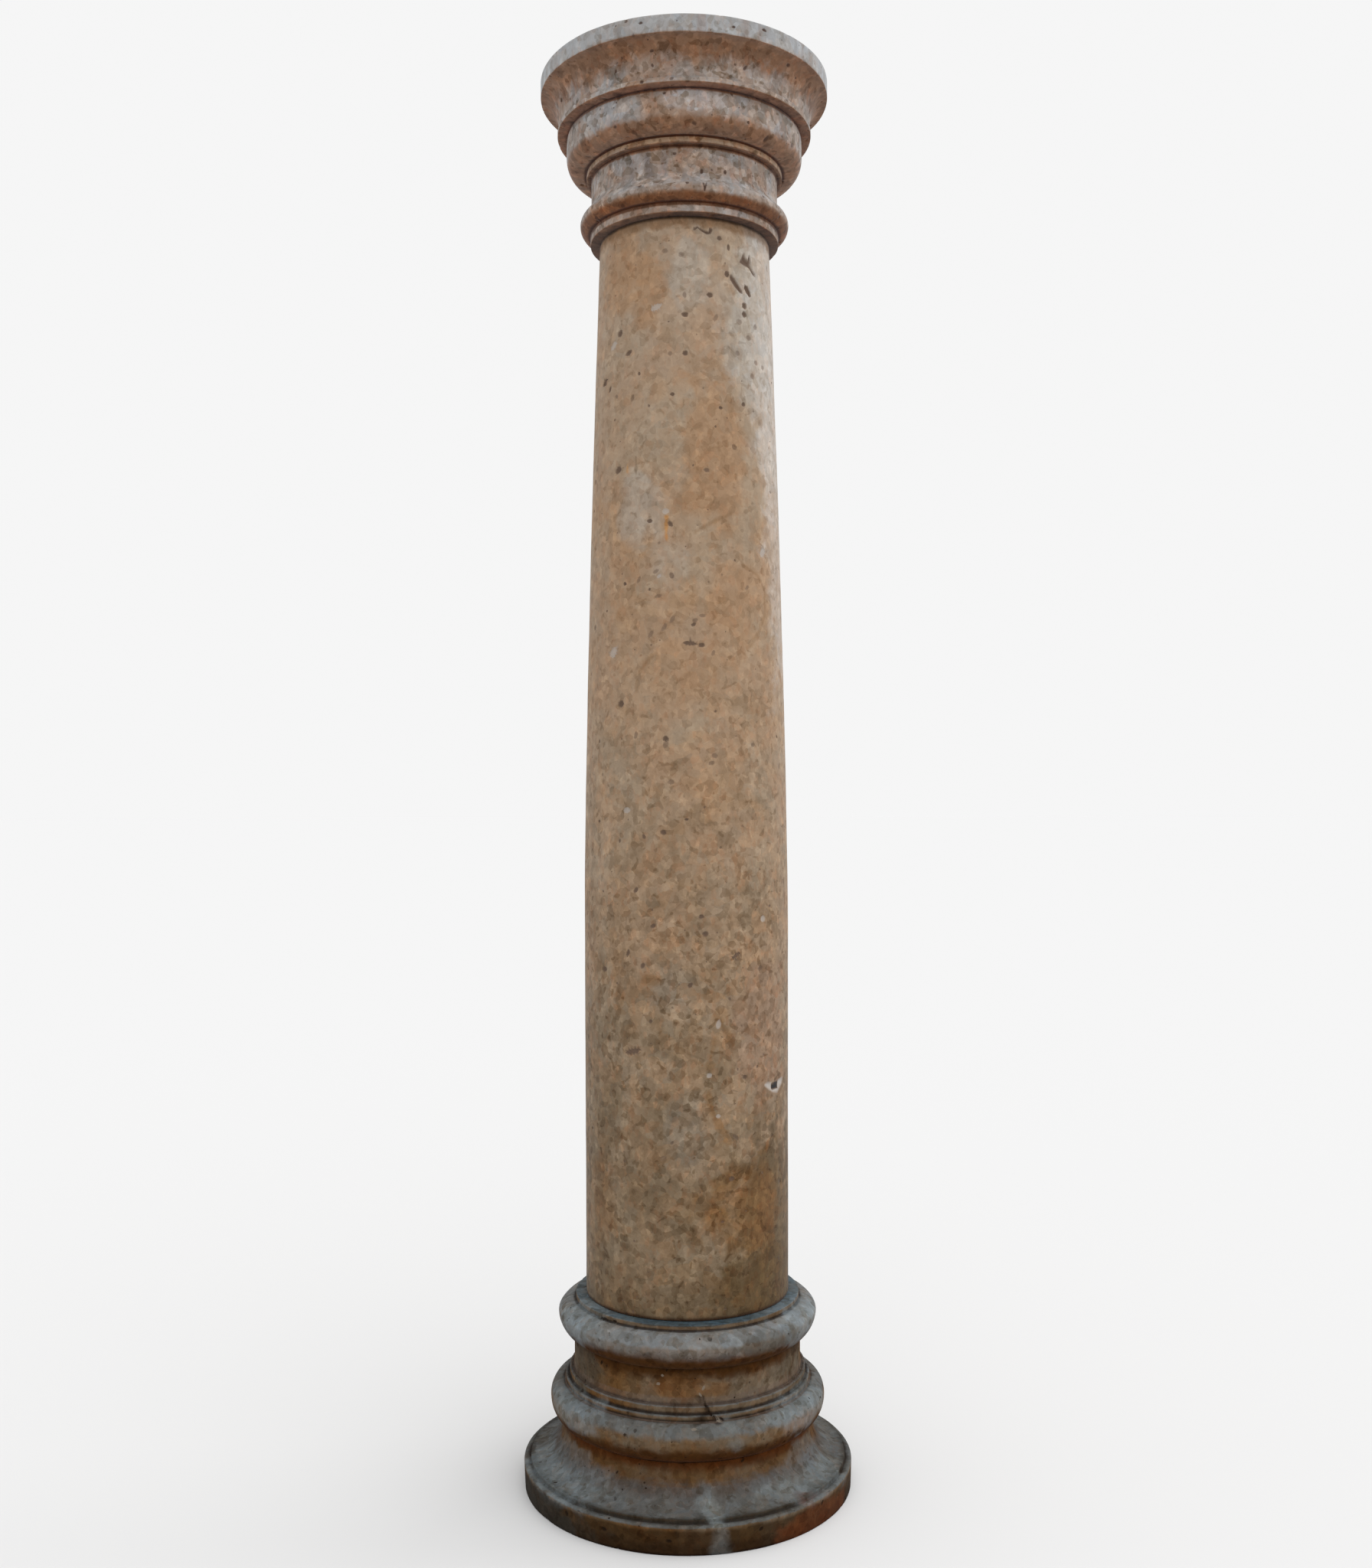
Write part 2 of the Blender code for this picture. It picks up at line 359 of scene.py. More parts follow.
def rain_and_sky_on(rows, outward, reach):
    """Share of driven rain, and of sky light, on each row: 1 on a ledge, about half on a wall, less
    underneath.
    """
    caught = np.zeros(len(rows))
    most = 0.0
    for steepness in FAN_OF_LINES:
        way = np.array([math.cos(math.radians(steepness)), math.sin(math.radians(steepness))])
        dry = sees_wall(rows + outward * CLEAR_OF_FACE, way, reach)
        caught += way[1] ** 2 * np.maximum(outward @ way, 0.0) * ~dry
        most += way[1] ** 3
    return np.clip(caught / most, 0.0, 1.0)


def nook_of(rows, reach):
    """How near each row is to an inner corner, for dirt and painted shade: 1 in the corner, 0 out of its
    reach.
    """
    distance = np.min([np.hypot(rows[:, 0] - r, rows[:, 1] - z) for r, z in corners], axis=0)
    return np.clip(1.0 - distance / reach, 0.0, 1.0)


print("lines in the fan:", len(FAN_OF_LINES))

# %% [markdown]
# ## Pits
# Travertine is full of small holes, left by plants and gas when the stone formed. Painting
# them as dark spots looks flat when the light comes from the side. Sinking real holes keeps
# their rims crisp from every side, and it would show in an exported mesh too. A hole is a rim of
# points on the surface, with smaller copies of the rim further down and a last point in the
# middle. Most rims are uneven ovals. The few odd ones are drawn one by one.

# %% Rims of pits
ROUNDER_FROM = 0.007
RIM_POINTS = (8, 14)
OVAL_REACH = (0.46, 0.60)
RIM_SPACING = 0.0025


def oval(dice, long, short, tilt):
    """The rim of an uneven oval hole."""
    count = RIM_POINTS[0] if long < ROUNDER_FROM else RIM_POINTS[1]
    rim = []
    for step in range(count):
        angle = 2.0 * math.pi * step / count
        reach = dice.uniform(*OVAL_REACH)
        along, aside = long * reach * math.cos(angle), short * reach * math.sin(angle)
        rim.append((along * math.cos(tilt) - aside * math.sin(tilt),
                    along * math.sin(tilt) + aside * math.cos(tilt)))
    return rim


def fine_rim(corners):
    """A rim given by its corners in millimetres, with more points along its sides."""
    rim = []
    for start, end in zip(corners, corners[1:] + corners[:1]):
        a, b = Vector(start) / 1000.0, Vector(end) / 1000.0
        steps = max(1, round((b - a).length / RIM_SPACING))
        rim += [tuple(a.lerp(b, step / steps)) for step in range(steps)]
    return rim


def inside(rim, across, up):
    """Which of many points lie inside a rim."""
    found = np.zeros(len(across), bool)
    for (x1, y1), (x2, y2) in zip(rim, rim[1:] + rim[:1]):
        if y1 == y2:
            continue
        crosses = ((y1 > up) != (y2 > up)) & (across < (x2 - x1) * (up - y1) / (y2 - y1) + x1)
        found ^= crosses
    return found


print("a pit of 12 mm has", len(oval(random.Random(1), 0.012, 0.008, 0.3)), "points on its rim")

# %% The shape of a pit
SMALL_PIT = 0.005
LARGE_PIT = 0.012
# Rings inside a small rim: their size and their depth, as shares
RINGS = ((0.75, 0.6), (0.4, 1.0))
# The dark core of a fresh break: its lowest edge and half its width, as shares of the reach
CORE_BOTTOM = -0.12
CORE_HALF_WIDTH = 0.3
UNEVEN_DEPTH = (0.8, 1.0)
# How fast a hole's inside darkens with its depth: dirt and painted shade
DARKENING = 1.5
GRID_STEPS = 9


class Pit:
    """One hole: turn round the axis, place along the outline, and a rim in metres from its middle."""

    def __init__(self, turn, place, rim, depth, shade=1.0, pale=0.0, core=False):
        self.turn, self.place, self.rim, self.depth = turn, place, rim, depth
        self.shade, self.pale, self.core = shade, pale, core
        self.reach = max(math.hypot(a, b) for a, b in rim)

    def points(self, dice):
        """Offset across and up, depth, darkness and paleness of each point of the hole."""
        found = [(a, b, 0.0, 0.0, self.pale) for a, b in self.rim]
        if self.reach > LARGE_PIT:
            spots = self.floor_grid()
        else:
            rings = RINGS if self.reach > SMALL_PIT else RINGS[:1]
            spots = [(a * share, b * share, deep) for share, deep in rings for a, b in self.rim]
            spots.append((0.0, 0.0, 1.0))
        for a, b, deep in spots:
            above = b > CORE_BOTTOM * self.reach
            in_core = self.core and above and abs(a) < CORE_HALF_WIDTH * self.reach
            pale = -self.pale if in_core else self.pale
            deep *= dice.uniform(*UNEVEN_DEPTH)
            found.append((a, b, self.depth * deep, min(1.0, deep * DARKENING) * self.shade, pale))
        return found

    def floor_grid(self):
        """Points on a small grid inside a large rim. They get deeper away from it."""
        step = self.reach / GRID_STEPS
        ticks = np.arange(-GRID_STEPS, GRID_STEPS + 1) * step
        across, up = (grid.ravel() for grid in np.meshgrid(ticks, ticks))
        within = inside(self.rim, across, up)
        across, up = across[within], up[within]
        edge = np.array(self.rim)
        near = np.hypot(across[:, None] - edge[:, 0], up[:, None] - edge[:, 1]).min(axis=1)
        kept = near > 0.45 * step
        deep = np.clip(near / (1.6 * step), 0.0, 1.0)
        return [(float(a), float(b), float(d)) for a, b, d in zip(across[kept], up[kept], deep[kept])]


sample_pit = Pit(0.0, 0.0, oval(random.Random(1), 0.012, 0.008, 0.3), 0.003)
print("the same pit has", len(sample_pit.points(random.Random(2))), "points in all")

# %% [markdown]
# ## From a flat sheet to a stone
# The skin of a turned stone unrolls into a flat sheet, like the label of a tin. On the sheet
# the outline's points are rows and the way round is the width. Pits are laid on the sheet,
# the plain grid points under them are taken away, and a Delaunay triangulation joins what is
# left. Rolled up again it is one closed mesh, fine where a pit needs it and coarse elsewhere.
# Boolean cuts would give the same holes, but a thousand of them would take minutes.

# %% Lay the pits on the sheet
BACK = math.radians(90.0)
# Grid points go where they are inside a rim this many times its size
WIDER = 1.25


def pitted_sheet(pits, lengths, rows, columns, middle, dice):
    """Place across and up, depth, darkness and paleness of each point of the unrolled skin."""
    width = 2.0 * math.pi * middle
    across = np.tile(np.arange(columns + 1) * width / columns, len(rows))
    up = np.repeat(lengths, columns + 1)
    keep = np.ones(len(up), bool)
    extra = []
    for pit in pits:
        stretch = middle / float(np.interp(pit.place, lengths, rows[:, 0]))
        centre = (pit.turn - BACK) % (2.0 * math.pi) * middle
        clear = WIDER * pit.reach + 0.0005
        # No pit lies across the seam at the back
        if centre < clear * stretch * 2 or centre > width - clear * stretch * 2:
            continue
        first, last = np.searchsorted(lengths, (pit.place - clear, pit.place + clear))
        near = slice(first * (columns + 1), last * (columns + 1))
        wider = [(a * WIDER, b * WIDER) for a, b in pit.rim]
        keep[near] &= ~inside(wider, (across[near] - centre) / stretch, up[near] - pit.place)
        for a, b, sunk, dark, pale in pit.points(dice):
            extra.append((centre + a * stretch, pit.place + b, sunk, dark, pale))

    extra = np.array(extra).reshape(-1, 5)
    across = np.concatenate([across[keep], extra[:, 0]])
    up = np.concatenate([up[keep], np.clip(extra[:, 1], 0.0, lengths[-1])])
    blank = np.zeros(int(keep.sum()))
    return (across, up, *(np.concatenate([blank, extra[:, k]]) for k in (2, 3, 4)))


print("the seam of each stone is at the back, at", round(math.degrees(BACK)), "degrees")

# %% Join the points of the sheet
def weave(across, up, width):
    """Triangles of a sheet of points, with the points of its two side edges made one."""
    sheet = [Vector((float(x), float(y))) for x, y in zip(across, up)]
    _, _, faces, origins, _, _ = delaunay_2d_cdt(sheet, [], [], 0, 1e-7, True)
    keys = {}
    owner = []
    source = [found[0] for found in origins]
    for original in source:
        at_edge = across[original] < 1e-6 or across[original] > width - 1e-6
        key = ("edge", round(float(up[original]), 6)) if at_edge else original
        owner.append(keys.setdefault(key, len(keys)))
    chosen = [0] * len(keys)
    for place, original in zip(owner, source):
        chosen[place] = original
    triangles = [tuple(owner[corner] for corner in face) for face in faces]
    return chosen, [t for t in triangles if len(set(t)) == 3]


sample_woven = weave(np.array([0.0, 1.0, 2.0] * 2), np.array([0.0] * 3 + [1.0] * 3), 2.0)
print("a tin of two squares is woven from", len(sample_woven[1]), "triangles")

# %% Roll the sheet into a stone
DISC_SPACING = 0.05
# Waves per metre of the unevenness left by the chisel, broad and fine
BROAD_WAVES = 7.0
FINE_WAVES = 23.0
STILL_SHARP = math.radians(50.0)


def unevenness_at(places, amount):
    """How far the face lies below its true outline at each place, for hand-worked stone."""
    waves = np.array([noise.noise(Vector(spot) * BROAD_WAVES) + 0.5 * noise.noise(Vector(spot) * FINE_WAVES)
                      for spot in places])
    return amount * np.clip(0.6 - 0.6 * waves, 0.0, 1.5)


def merge_on_axis(mesh):
    """Make one point of each ring of points that has shrunk onto the axis."""
    loose = bmesh.new()
    loose.from_mesh(mesh)
    on_axis = [v for v in loose.verts if math.hypot(v.co.x, v.co.y) < 1e-4]
    bmesh.ops.remove_doubles(loose, verts=on_axis, dist=1e-3)
    loose.to_mesh(mesh)
    loose.free()


def stone_skin(name, path, columns, ease, spacing, roof_reach, nook_reach, make_pits, seed, unevenness):
    """A closed stone turned from an outline, with pits sunk into it and a slightly uneven face."""
    rows, arrises = worn_outline(path, ease, spacing, DISC_SPACING)
    lengths = np.concatenate([[0.0], np.cumsum(np.hypot(*np.diff(rows, axis=0).T))])
    slope = np.gradient(rows, lengths, axis=0)
    slope /= np.maximum(np.hypot(slope[:, 0], slope[:, 1]), 1e-9)[:, None]
    outward = np.stack([slope[:, 1], -slope[:, 0]], axis=1)
    rain_and_sky = rain_and_sky_on(rows, outward, roof_reach)
    nook = nook_of(rows, nook_reach)
    middle = float(rows[:, 0].max())

    dice = random.Random(seed)
    pits = make_pits(lengths, rows, arrises, dice)
    across, up, sunk, hollow, fresh = pitted_sheet(pits, lengths, rows, columns, middle, dice)
    radius, height = (np.interp(up, lengths, rows[:, k]) for k in (0, 1))
    out_r, out_z = (np.interp(up, lengths, outward[:, k]) for k in (0, 1))
    angle = BACK + across / middle
    around, ahead = np.cos(angle), np.sin(angle)
    swell = unevenness_at(zip(radius * around, radius * ahead, height), unevenness)
    # The flat beds stay true, and so does the middle of each disc
    sunk = (sunk + np.where(np.abs(out_r) < 0.05, 0.0, swell)) * np.clip(radius / 0.03, 0.0, 1.0)
    radius = radius - out_r * sunk
    height = height - out_z * sunk

    chosen, triangles = weave(across, up, 2.0 * math.pi * middle)
    places = np.stack([radius * around, radius * ahead, height], axis=1)[chosen]
    mesh = bpy.data.meshes.new(name)
    mesh.from_pydata(places.tolist(), [], triangles)
    for label, values in (("hollow", hollow), ("fresh", fresh), ("rain_and_sky", np.interp(up, lengths, rain_and_sky)),
                          ("nook", np.interp(up, lengths, nook))):
        layer = mesh.attributes.new(label, "FLOAT", "POINT")
        layer.data.foreach_set("value", np.ascontiguousarray(values[chosen], np.float32))
    merge_on_axis(mesh)
    mesh.shade_smooth()
    mesh.set_sharp_from_angle(angle=STILL_SHARP)
    stone = bpy.data.objects.new(name, mesh)
    bpy.context.scene.collection.objects.link(stone)
    print(name, "has", len(pits), "pits,", len(mesh.vertices), "points,", len(mesh.polygons), "triangles")
    return stone


print("discs have a ring of points every", round(DISC_SPACING * 1000), "mm")

# %% [markdown]
# ## Where the pits are
# Most pits lie at random, but their sizes follow what the stone shows: many small ones and few
# large ones. Seeded dice put them in the same places each time. The holes that catch the eye
# on the front are listed one by one, as an angle from the front and a height, with their length
# and width in millimetres. A few have shapes of their own.

# %% Holes listed one by one
FRONT = math.radians(270.0)

# Angle from the front in degrees, height in metres, length and width in millimetres, tilt in degrees
DARK_HOLES = (
    (28.0, 2.660, 15, 13, 70), (23.0, 2.736, 13, 11, 0), (29.5, 2.720, 16, 8, 85),
    (16.0, 2.609, 15, 12, 10), (0.2, 2.564, 16, 13, 0), (0.2, 2.480, 13, 12, 60),
    (41.3, 2.599, 16, 15, 80), (41.0, 2.580, 15, 14, 80), (-45.0, 2.541, 18, 15, 65),
    (-60.0, 2.445, 22, 13, 30), (-53.7, 2.425, 16, 9, 60), (-44.0, 2.240, 20, 16, 30),
    (-37.0, 2.493, 20, 10, 25), (-8.6, 2.111, 15, 10, -50), (-7.5, 2.391, 11, 9, 0),
    (2.5, 1.855, 30, 9, -8), (9.0, 1.851, 16, 10, 10), (4.5, 1.895, 12, 8, 20),
    (-39.0, 1.730, 18, 16, 0), (-11.0, 1.652, 15, 13, 0), (-21.0, 2.120, 13, 10, 0),
    (38.4, 2.380, 11, 10, 0), (22.0, 2.365, 10, 8, 0), (-12.2, 1.453, 14, 12, 0),
    (10.2, 1.238, 14, 12, 0), (-51.0, 1.156, 19, 13, 0), (-30.2, 0.986, 36, 12, 15),
    (24.8, 0.717, 14, 12, 0), (-24.0, 1.170, 15, 10, 60), (-33.0, 1.195, 18, 9, 70),
    (8.0, 1.275, 12, 10, 0), (27.5, 1.190, 22, 9, 35), (2.0, 1.130, 13, 10, 60),
    (-18.0, 1.255, 14, 9, 30), (-28.0, 1.330, 16, 9, 50), (33.0, 0.930, 12, 10, 0),
)
# The same for faint ones, which are nearly filled with dirt
FAINT_HOLES = (
    (36.5, 2.560, 17, 14, 0), (51.0, 2.560, 16, 12, 60), (44.0, 2.530, 17, 13, 0),
    (34.5, 2.490, 14, 12, 0), (50.5, 2.480, 13, 12, 0), (58.0, 2.475, 13, 12, 0),
    (46.5, 2.447, 15, 13, 60), (0.0, 2.607, 14, 10, 90), (-12.5, 2.705, 14, 12, 0),
    (-9.0, 2.480, 12, 10, 0), (19.5, 2.560, 20, 10, 60), (-2.0, 2.695, 15, 12, 0),
    (-15.5, 1.957, 17, 9, 10), (-27.5, 1.995, 18, 8, 65), (-7.4, 1.906, 20, 10, 60),
    (-12.0, 1.890, 20, 10, 60), (-19.8, 1.876, 18, 10, 50), (5.4, 1.904, 14, 10, 20),
    (9.5, 1.914, 16, 9, 0), (15.8, 1.616, 15, 12, 0), (-28.5, 1.661, 18, 10, 80),
    (-11.0, 1.640, 20, 12, 70), (15.6, 1.835, 14, 9, 70), (-17.0, 2.010, 15, 9, 30),
    (14.0, 1.600, 16, 10, 30), (-8.0, 1.560, 16, 12, 0), (40.0, 1.640, 12, 10, 0),
    (38.0, 1.980, 14, 9, 50),
)
# The same for fresh chips, whose broken inside shows pale
PALE_CHIPS = (
    (-18.2, 2.583, 26, 12, 25), (-11.3, 2.139, 17, 14, 0), (-15.0, 2.000, 12, 8, 40),
    (-51.0, 2.519, 24, 13, 40), (52.1, 2.062, 24, 14, 50), (-45.5, 1.843, 26, 17, 60),
    (46.3, 1.265, 17, 16, 0), (17.2, 1.046, 20, 12, 80), (12.0, 0.939, 13, 11, 0),
    (17.0, 0.852, 12, 10, 0), (-34.0, 1.500, 18, 14, 0),
)
# Odd shapes: angle, height, depth in millimetres, paleness, then the rim in millimetres
ODD_HOLES = (
    (45.0, 2.695, 6.0, 0.0, ((-27, -2), (-20, 8), (-13, 23), (-7, 25), (-4, 13), (1, 10), (4, 21),
     (11, 27), (14, 13), (12, -3), (22, -11), (31, -18), (27, -25), (16, -21), (4, -10), (-13, -8))),
    (34.5, 2.643, 4.0, 0.0, ((-19, 18), (-10, 20), (1, 9), (11, -3), (19, -11), (22, -20), (10, -20),
     (-4, -9), (-16, 5))),
    (44.5, 2.633, 3.5, 0.0, ((-9, 14), (0, 12), (9, 1), (11, -9), (5, -13), (-6, -4), (-12, 5))),
    (12.0, 2.750, 4.5, 0.0, ((-23, -2), (-22, 5), (-12, 9), (-3, 3), (5, 1), (12, -1), (14, 7), (20, 8),
     (23, 2), (18, -8), (8, -10), (-2, -5), (-12, 2), (-18, -3))),
    (57.5, 0.900, 3.0, 1.0, ((-48, 7), (-30, 13), (-12, 10), (14, 12), (46, 15), (40, -2), (26, -10),
     (10, -21), (-10, -16), (-28, -7))),
)
CAPITAL_HOLES = (
    (-18.0, 3.030, 9, 7, 0), (-9.0, 3.012, 8, 6, 0), (44.0, 2.948, 20, 12, 80),
    (24.7, 2.874, 12, 8, 80), (1.5, 2.835, 9, 8, 0), (-34.0, 2.960, 9, 7, 0), (31.0, 2.965, 8, 7, 0),
    (48.0, 3.100, 11, 8, 0), (-16.0, 3.135, 10, 6, 0), (18.6, 3.128, 9, 6, 0), (-70.0, 3.075, 12, 9, 0),
)
CAPITAL_CHIPS = ((5.5, 2.977, 10, 8, 0), (-4.0, 3.006, 9, 7, 0), (2.0, 2.994, 8, 6, 30))
CAPITAL_CRACKS = (
    (10.5, 2.826, 3.5, 0.0, ((-5, 15), (-1, 14), (1, 5), (4, 13), (7, 12), (4, -3), (1, -13), (-2, -8),
     (-3, 3))),
)
BASE_HOLES = (
    (-45.0, 0.412, 22, 6, 0), (-38.0, 0.414, 12, 5, 0), (-1.2, 0.152, 16, 8, 60),
    (12.0, 0.240, 16, 5, -50), (15.0, 0.234, 12, 5, -40), (-6.0, 0.030, 12, 8, 0),
    (-28.0, 0.035, 12, 9, 0), (24.0, 0.040, 12, 8, 30),
)
BASE_CHIPS = (
    (7.5, 0.293, 13, 6, 60), (6.0, 0.279, 11, 5, -50), (13.4, 0.233, 22, 7, -55),
    (2.5, 0.225, 14, 7, 0), (-14.0, 0.300, 9, 7, 20), (-12.0, 0.318, 7, 6, 0),
)
BASE_CRACKS = (
    (9.0, 0.254, 4.5, 0.0, ((-10, 30), (-5, 31), (1, 12), (8, -6), (14, -24), (9, -27), (1, -12),
     (-7, 8))),
)

shaft_marks = (DARK_HOLES, FAINT_HOLES, PALE_CHIPS, ODD_HOLES)
print("holes set by hand on the shaft:", sum(len(marks) for marks in shaft_marks))

# %% Pits from the lists
# For dark holes, faint ones and chips: darkness, paleness, and depth as a share of the width
KINDS = ((0.9, 0.0, 0.28), (0.55, 0.0, 0.12), (0.65, 1.0, 0.12))


def set_by_hand(lengths, rows, dice, dark, faint=(), chips=(), odd=()):
    """The holes of up to four of the lists above, as pits of one stone."""
    found = []
    for entries, (shade, pale, steep) in zip((dark, faint, chips), KINDS):
        for degrees, height, long, short, tilt in entries:
            place = float(np.interp(height, rows[1:-1, 1], lengths[1:-1]))
            rim = oval(dice, long / 1000.0, short / 1000.0, math.radians(tilt))
            depth = short * steep / 1000.0
            found.append(Pit(FRONT + math.radians(degrees), place, rim, depth, shade, pale))
    for degrees, height, deep, pale, shape in odd:
        place = float(np.interp(height, rows[1:-1, 1], lengths[1:-1]))
        rim = fine_rim(shape)
        found.append(Pit(FRONT + math.radians(degrees), place, rim, deep / 1000.0, 1.0, pale, True))
    return found


print("kinds of holes set by hand:", len(KINDS) + 1)

# %% Scattered pits
TRIES_PER_PIT = 12
# Width as a share of the length, and depth as a share of the width
SHORTER = (0.5, 0.9)
SCATTER_DEPTH = (0.12, 0.34)


def scattered(dice, count, low, high, small, large, taken, radius, crowd=1.0):
    """Adds random pits between two places on the outline, clear of the ones in taken."""
    tries = 0
    added = 0
    while added < count and tries < count * TRIES_PER_PIT:
        tries += 1
        place = low + (high - low) * dice.random() ** crowd
        turn = dice.uniform(0.0, 2.0 * math.pi)
        long = small + (large - small) * dice.random() ** 3
        gap = 0.8 * long + 0.002
        if any(abs(other.place - place) < gap + other.reach
               and abs(math.remainder(other.turn - turn, 2.0 * math.pi)) * radius < gap + other.reach
               for other in taken):
            continue
        short = long * dice.uniform(*SHORTER)
        rim = oval(dice, long, short, dice.uniform(0.0, math.pi))
        depth = short * dice.uniform(*SCATTER_DEPTH)
        taken.append(Pit(turn, place, rim, depth, dice.uniform(0.35, 1.0)))
        added += 1


def face_span(lengths, rows, farther_out, margin):
    """Where a stone's face begins and ends on its outline, without the beds and a margin."""
    face = lengths[rows[:, 0] > farther_out]
    return float(face[0]) + margin, float(face[-1]) - margin


print("a scattered pit gets up to", TRIES_PER_PIT, "tries for a free place")

# %% Pits of each stone
def shaft_pits(lengths, rows, arrises, dice):
    """Pits of the shaft: the ones set by hand, then a scatter that thickens downwards."""
    taken = set_by_hand(lengths, rows, dice, *shaft_marks)
    low, high = face_span(lengths, rows, 0.19, 0.012)
    scattered(dice, 150, low, high, 0.006, 0.019, taken, 0.21)
    scattered(dice, 420, low, high, 0.004, 0.010, taken, 0.21, 1.5)
    return taken


def moulded_pits(count, small, large, chips, *marks):
    """A maker of pits for a moulded stone: chips on its arrises and a scatter over its face."""
    def pits(lengths, rows, arrises, dice):
        taken = set_by_hand(lengths, rows, dice, *marks)
        for _ in range(chips):
            place = float(lengths[dice.choice(arrises)]) + dice.uniform(-0.001, 0.001)
            long = dice.uniform(0.007, 0.022)
            rim = oval(dice, long, long * dice.uniform(0.25, 0.5), dice.uniform(-0.15, 0.15))
            taken.append(Pit(dice.uniform(0.0, 2.0 * math.pi), place, rim, 0.0015, 0.3))
        low, high = face_span(lengths, rows, 0.2, 0.02)
        scattered(dice, count, low, high, small, large, taken, 0.27)
        return taken
    return pits


print("odd shapes on the shaft, the capital and the base:",
      [len(marks) for marks in (ODD_HOLES, CAPITAL_CRACKS, BASE_CRACKS)])

# %% [markdown]
# ## Turning the three stones
# Each stone is now rolled up from its own outline. The base and the capital get rows every
# few millimetres because their mouldings curve so tightly. The long plain shaft gets by with
# coarse rows, and its pits bring their own points.

# %% Make the stones
shaft = stone_skin("shaft_surface", outlines["shaft"], columns=150, ease=0.003, spacing=0.012,
                   roof_reach=0.03, nook_reach=0.013, make_pits=shaft_pits, seed=11, unevenness=0.0009)
base = stone_skin("base_surface", outlines["base"], columns=240, ease=0.0022, spacing=0.0042,
                  roof_reach=0.07, nook_reach=0.010, seed=22, unevenness=0.0011,
                  make_pits=moulded_pits(260, 0.004, 0.013, 60, BASE_HOLES, (), BASE_CHIPS, BASE_CRACKS))
capital = stone_skin("capital_surface", outlines["capital"], columns=240, ease=0.0018, spacing=0.0042,
                     roof_reach=0.010, nook_reach=0.0115, seed=33, unevenness=0.0009,
                     make_pits=moulded_pits(330, 0.004, 0.014, 40, CAPITAL_HOLES, (), CAPITAL_CHIPS,
                                            CAPITAL_CRACKS))

# %% [markdown]
# ## The stone's finish
# The finish is built in layers, as a scene painter would: a ground of soft clouds, a patchwork
# of small angular flakes, leaf-shaped brown flecks, fine grain, and then the weather. Where
# rain and sky light reach, the stone is grey, partly bleaching and partly painted sky light.
# Where they don't, a brown crust stays, partly painted shade. Everything is procedural and is
# placed by the stone's own coordinates, so it stays put from every side. A little sheen stands
# for the dust on the face, which looks lighter where it is seen aslant.

# %% Noise and flakes
def clouds(tree, place, scale, detail=3.0, distortion=0.0):
    """Soft noise, with scale in waves per metre."""
    made = add_node(tree, "ShaderNodeTexNoise",
                    inputs={"Vector": place, "Scale": scale, "Detail": detail, "Distortion": distortion})
    return made.outputs["Fac"]


def moved(tree, place, offset, stretch=(1.0, 1.0, 1.0)):
    """The same coordinates shifted and stretched, so that layers don't repeat each other."""
    mapped = add_node(tree, "ShaderNodeMapping",
                      inputs={"Vector": place, "Location": offset, "Scale": stretch})
    return mapped.outputs["Vector"]


def bent(tree, place, scale, amount):
    """The same coordinates pushed about by noise, which makes straight cell walls ragged."""
    push = add_node(tree, "ShaderNodeTexNoise", inputs={"Vector": place, "Scale": scale, "Detail": 2.0})
    centred = add_node(tree, "ShaderNodeVectorMath", operation="SUBTRACT",
                       inputs={0: push.outputs["Color"], 1: (0.5, 0.5, 0.5)})
    sized = add_node(tree, "ShaderNodeVectorMath", operation="SCALE",
                     inputs={0: centred.outputs[0], "Scale": amount})
    return add_node(tree, "ShaderNodeVectorMath", operation="ADD",
                    inputs={0: place, 1: sized.outputs[0]}).outputs[0]


def flakes(tree, place, scale):
    """A patchwork of cells. It gives two random values from 0 to 1 for each cell."""
    cells = add_node(tree, "ShaderNodeTexVoronoi", inputs={"Vector": place, "Scale": scale})
    lots = add_node(tree, "ShaderNodeSeparateColor", inputs={"Color": cells.outputs["Color"]})
    return lots.outputs[0], lots.outputs[1]


def attribute(tree, name):
    """A value stored on the mesh's points."""
    return add_node(tree, "ShaderNodeAttribute", attribute_name=name).outputs["Fac"]


print("clouds of scale 6 are about", round(1000 / 6), "mm wide")

# %% [markdown]
# ## Marks on the face
# Stains on old stone come in three kinds: blotches, where damp spread, streaks, where it ran,
# and level bands, where a moulding sheltered the stone or splashes reached it. The same masks
# also lay painted shade and painted light: dark blotches and bands where shade falls, and pale
# blotches where light falls. Each is a mask with a ragged edge, found from the distance to its
# middle. Painting an image would need an unwrapped map, and it would be soft up close. A mask
# made of numbers is sharp at any size.

# %% Blotches, strokes and bands
def on_face(degrees, height, radius):
    """The point of the face at an angle from the front, a height and a radius."""
    angle = FRONT + math.radians(degrees)
    return Vector((radius * math.cos(angle), radius * math.sin(angle), height))


def blotch(tree, place, raggedness, degrees, height, radius, size, tall):
    """A ragged blotch on the face, with its middle, width and height."""
    away = add_node(tree, "ShaderNodeVectorMath", operation="SUBTRACT",
                    inputs={0: place, 1: on_face(degrees, height, radius)})
    scaled = add_node(tree, "ShaderNodeVectorMath", operation="MULTIPLY",
                      inputs={0: away.outputs[0], 1: (1.0 / size, 1.0 / size, 1.0 / tall)})
    far = add_node(tree, "ShaderNodeVectorMath", operation="LENGTH", inputs={0: scaled.outputs[0]})
    return between(tree, plus(tree, far.outputs["Value"], raggedness, 1.6), 1.95, 1.45)


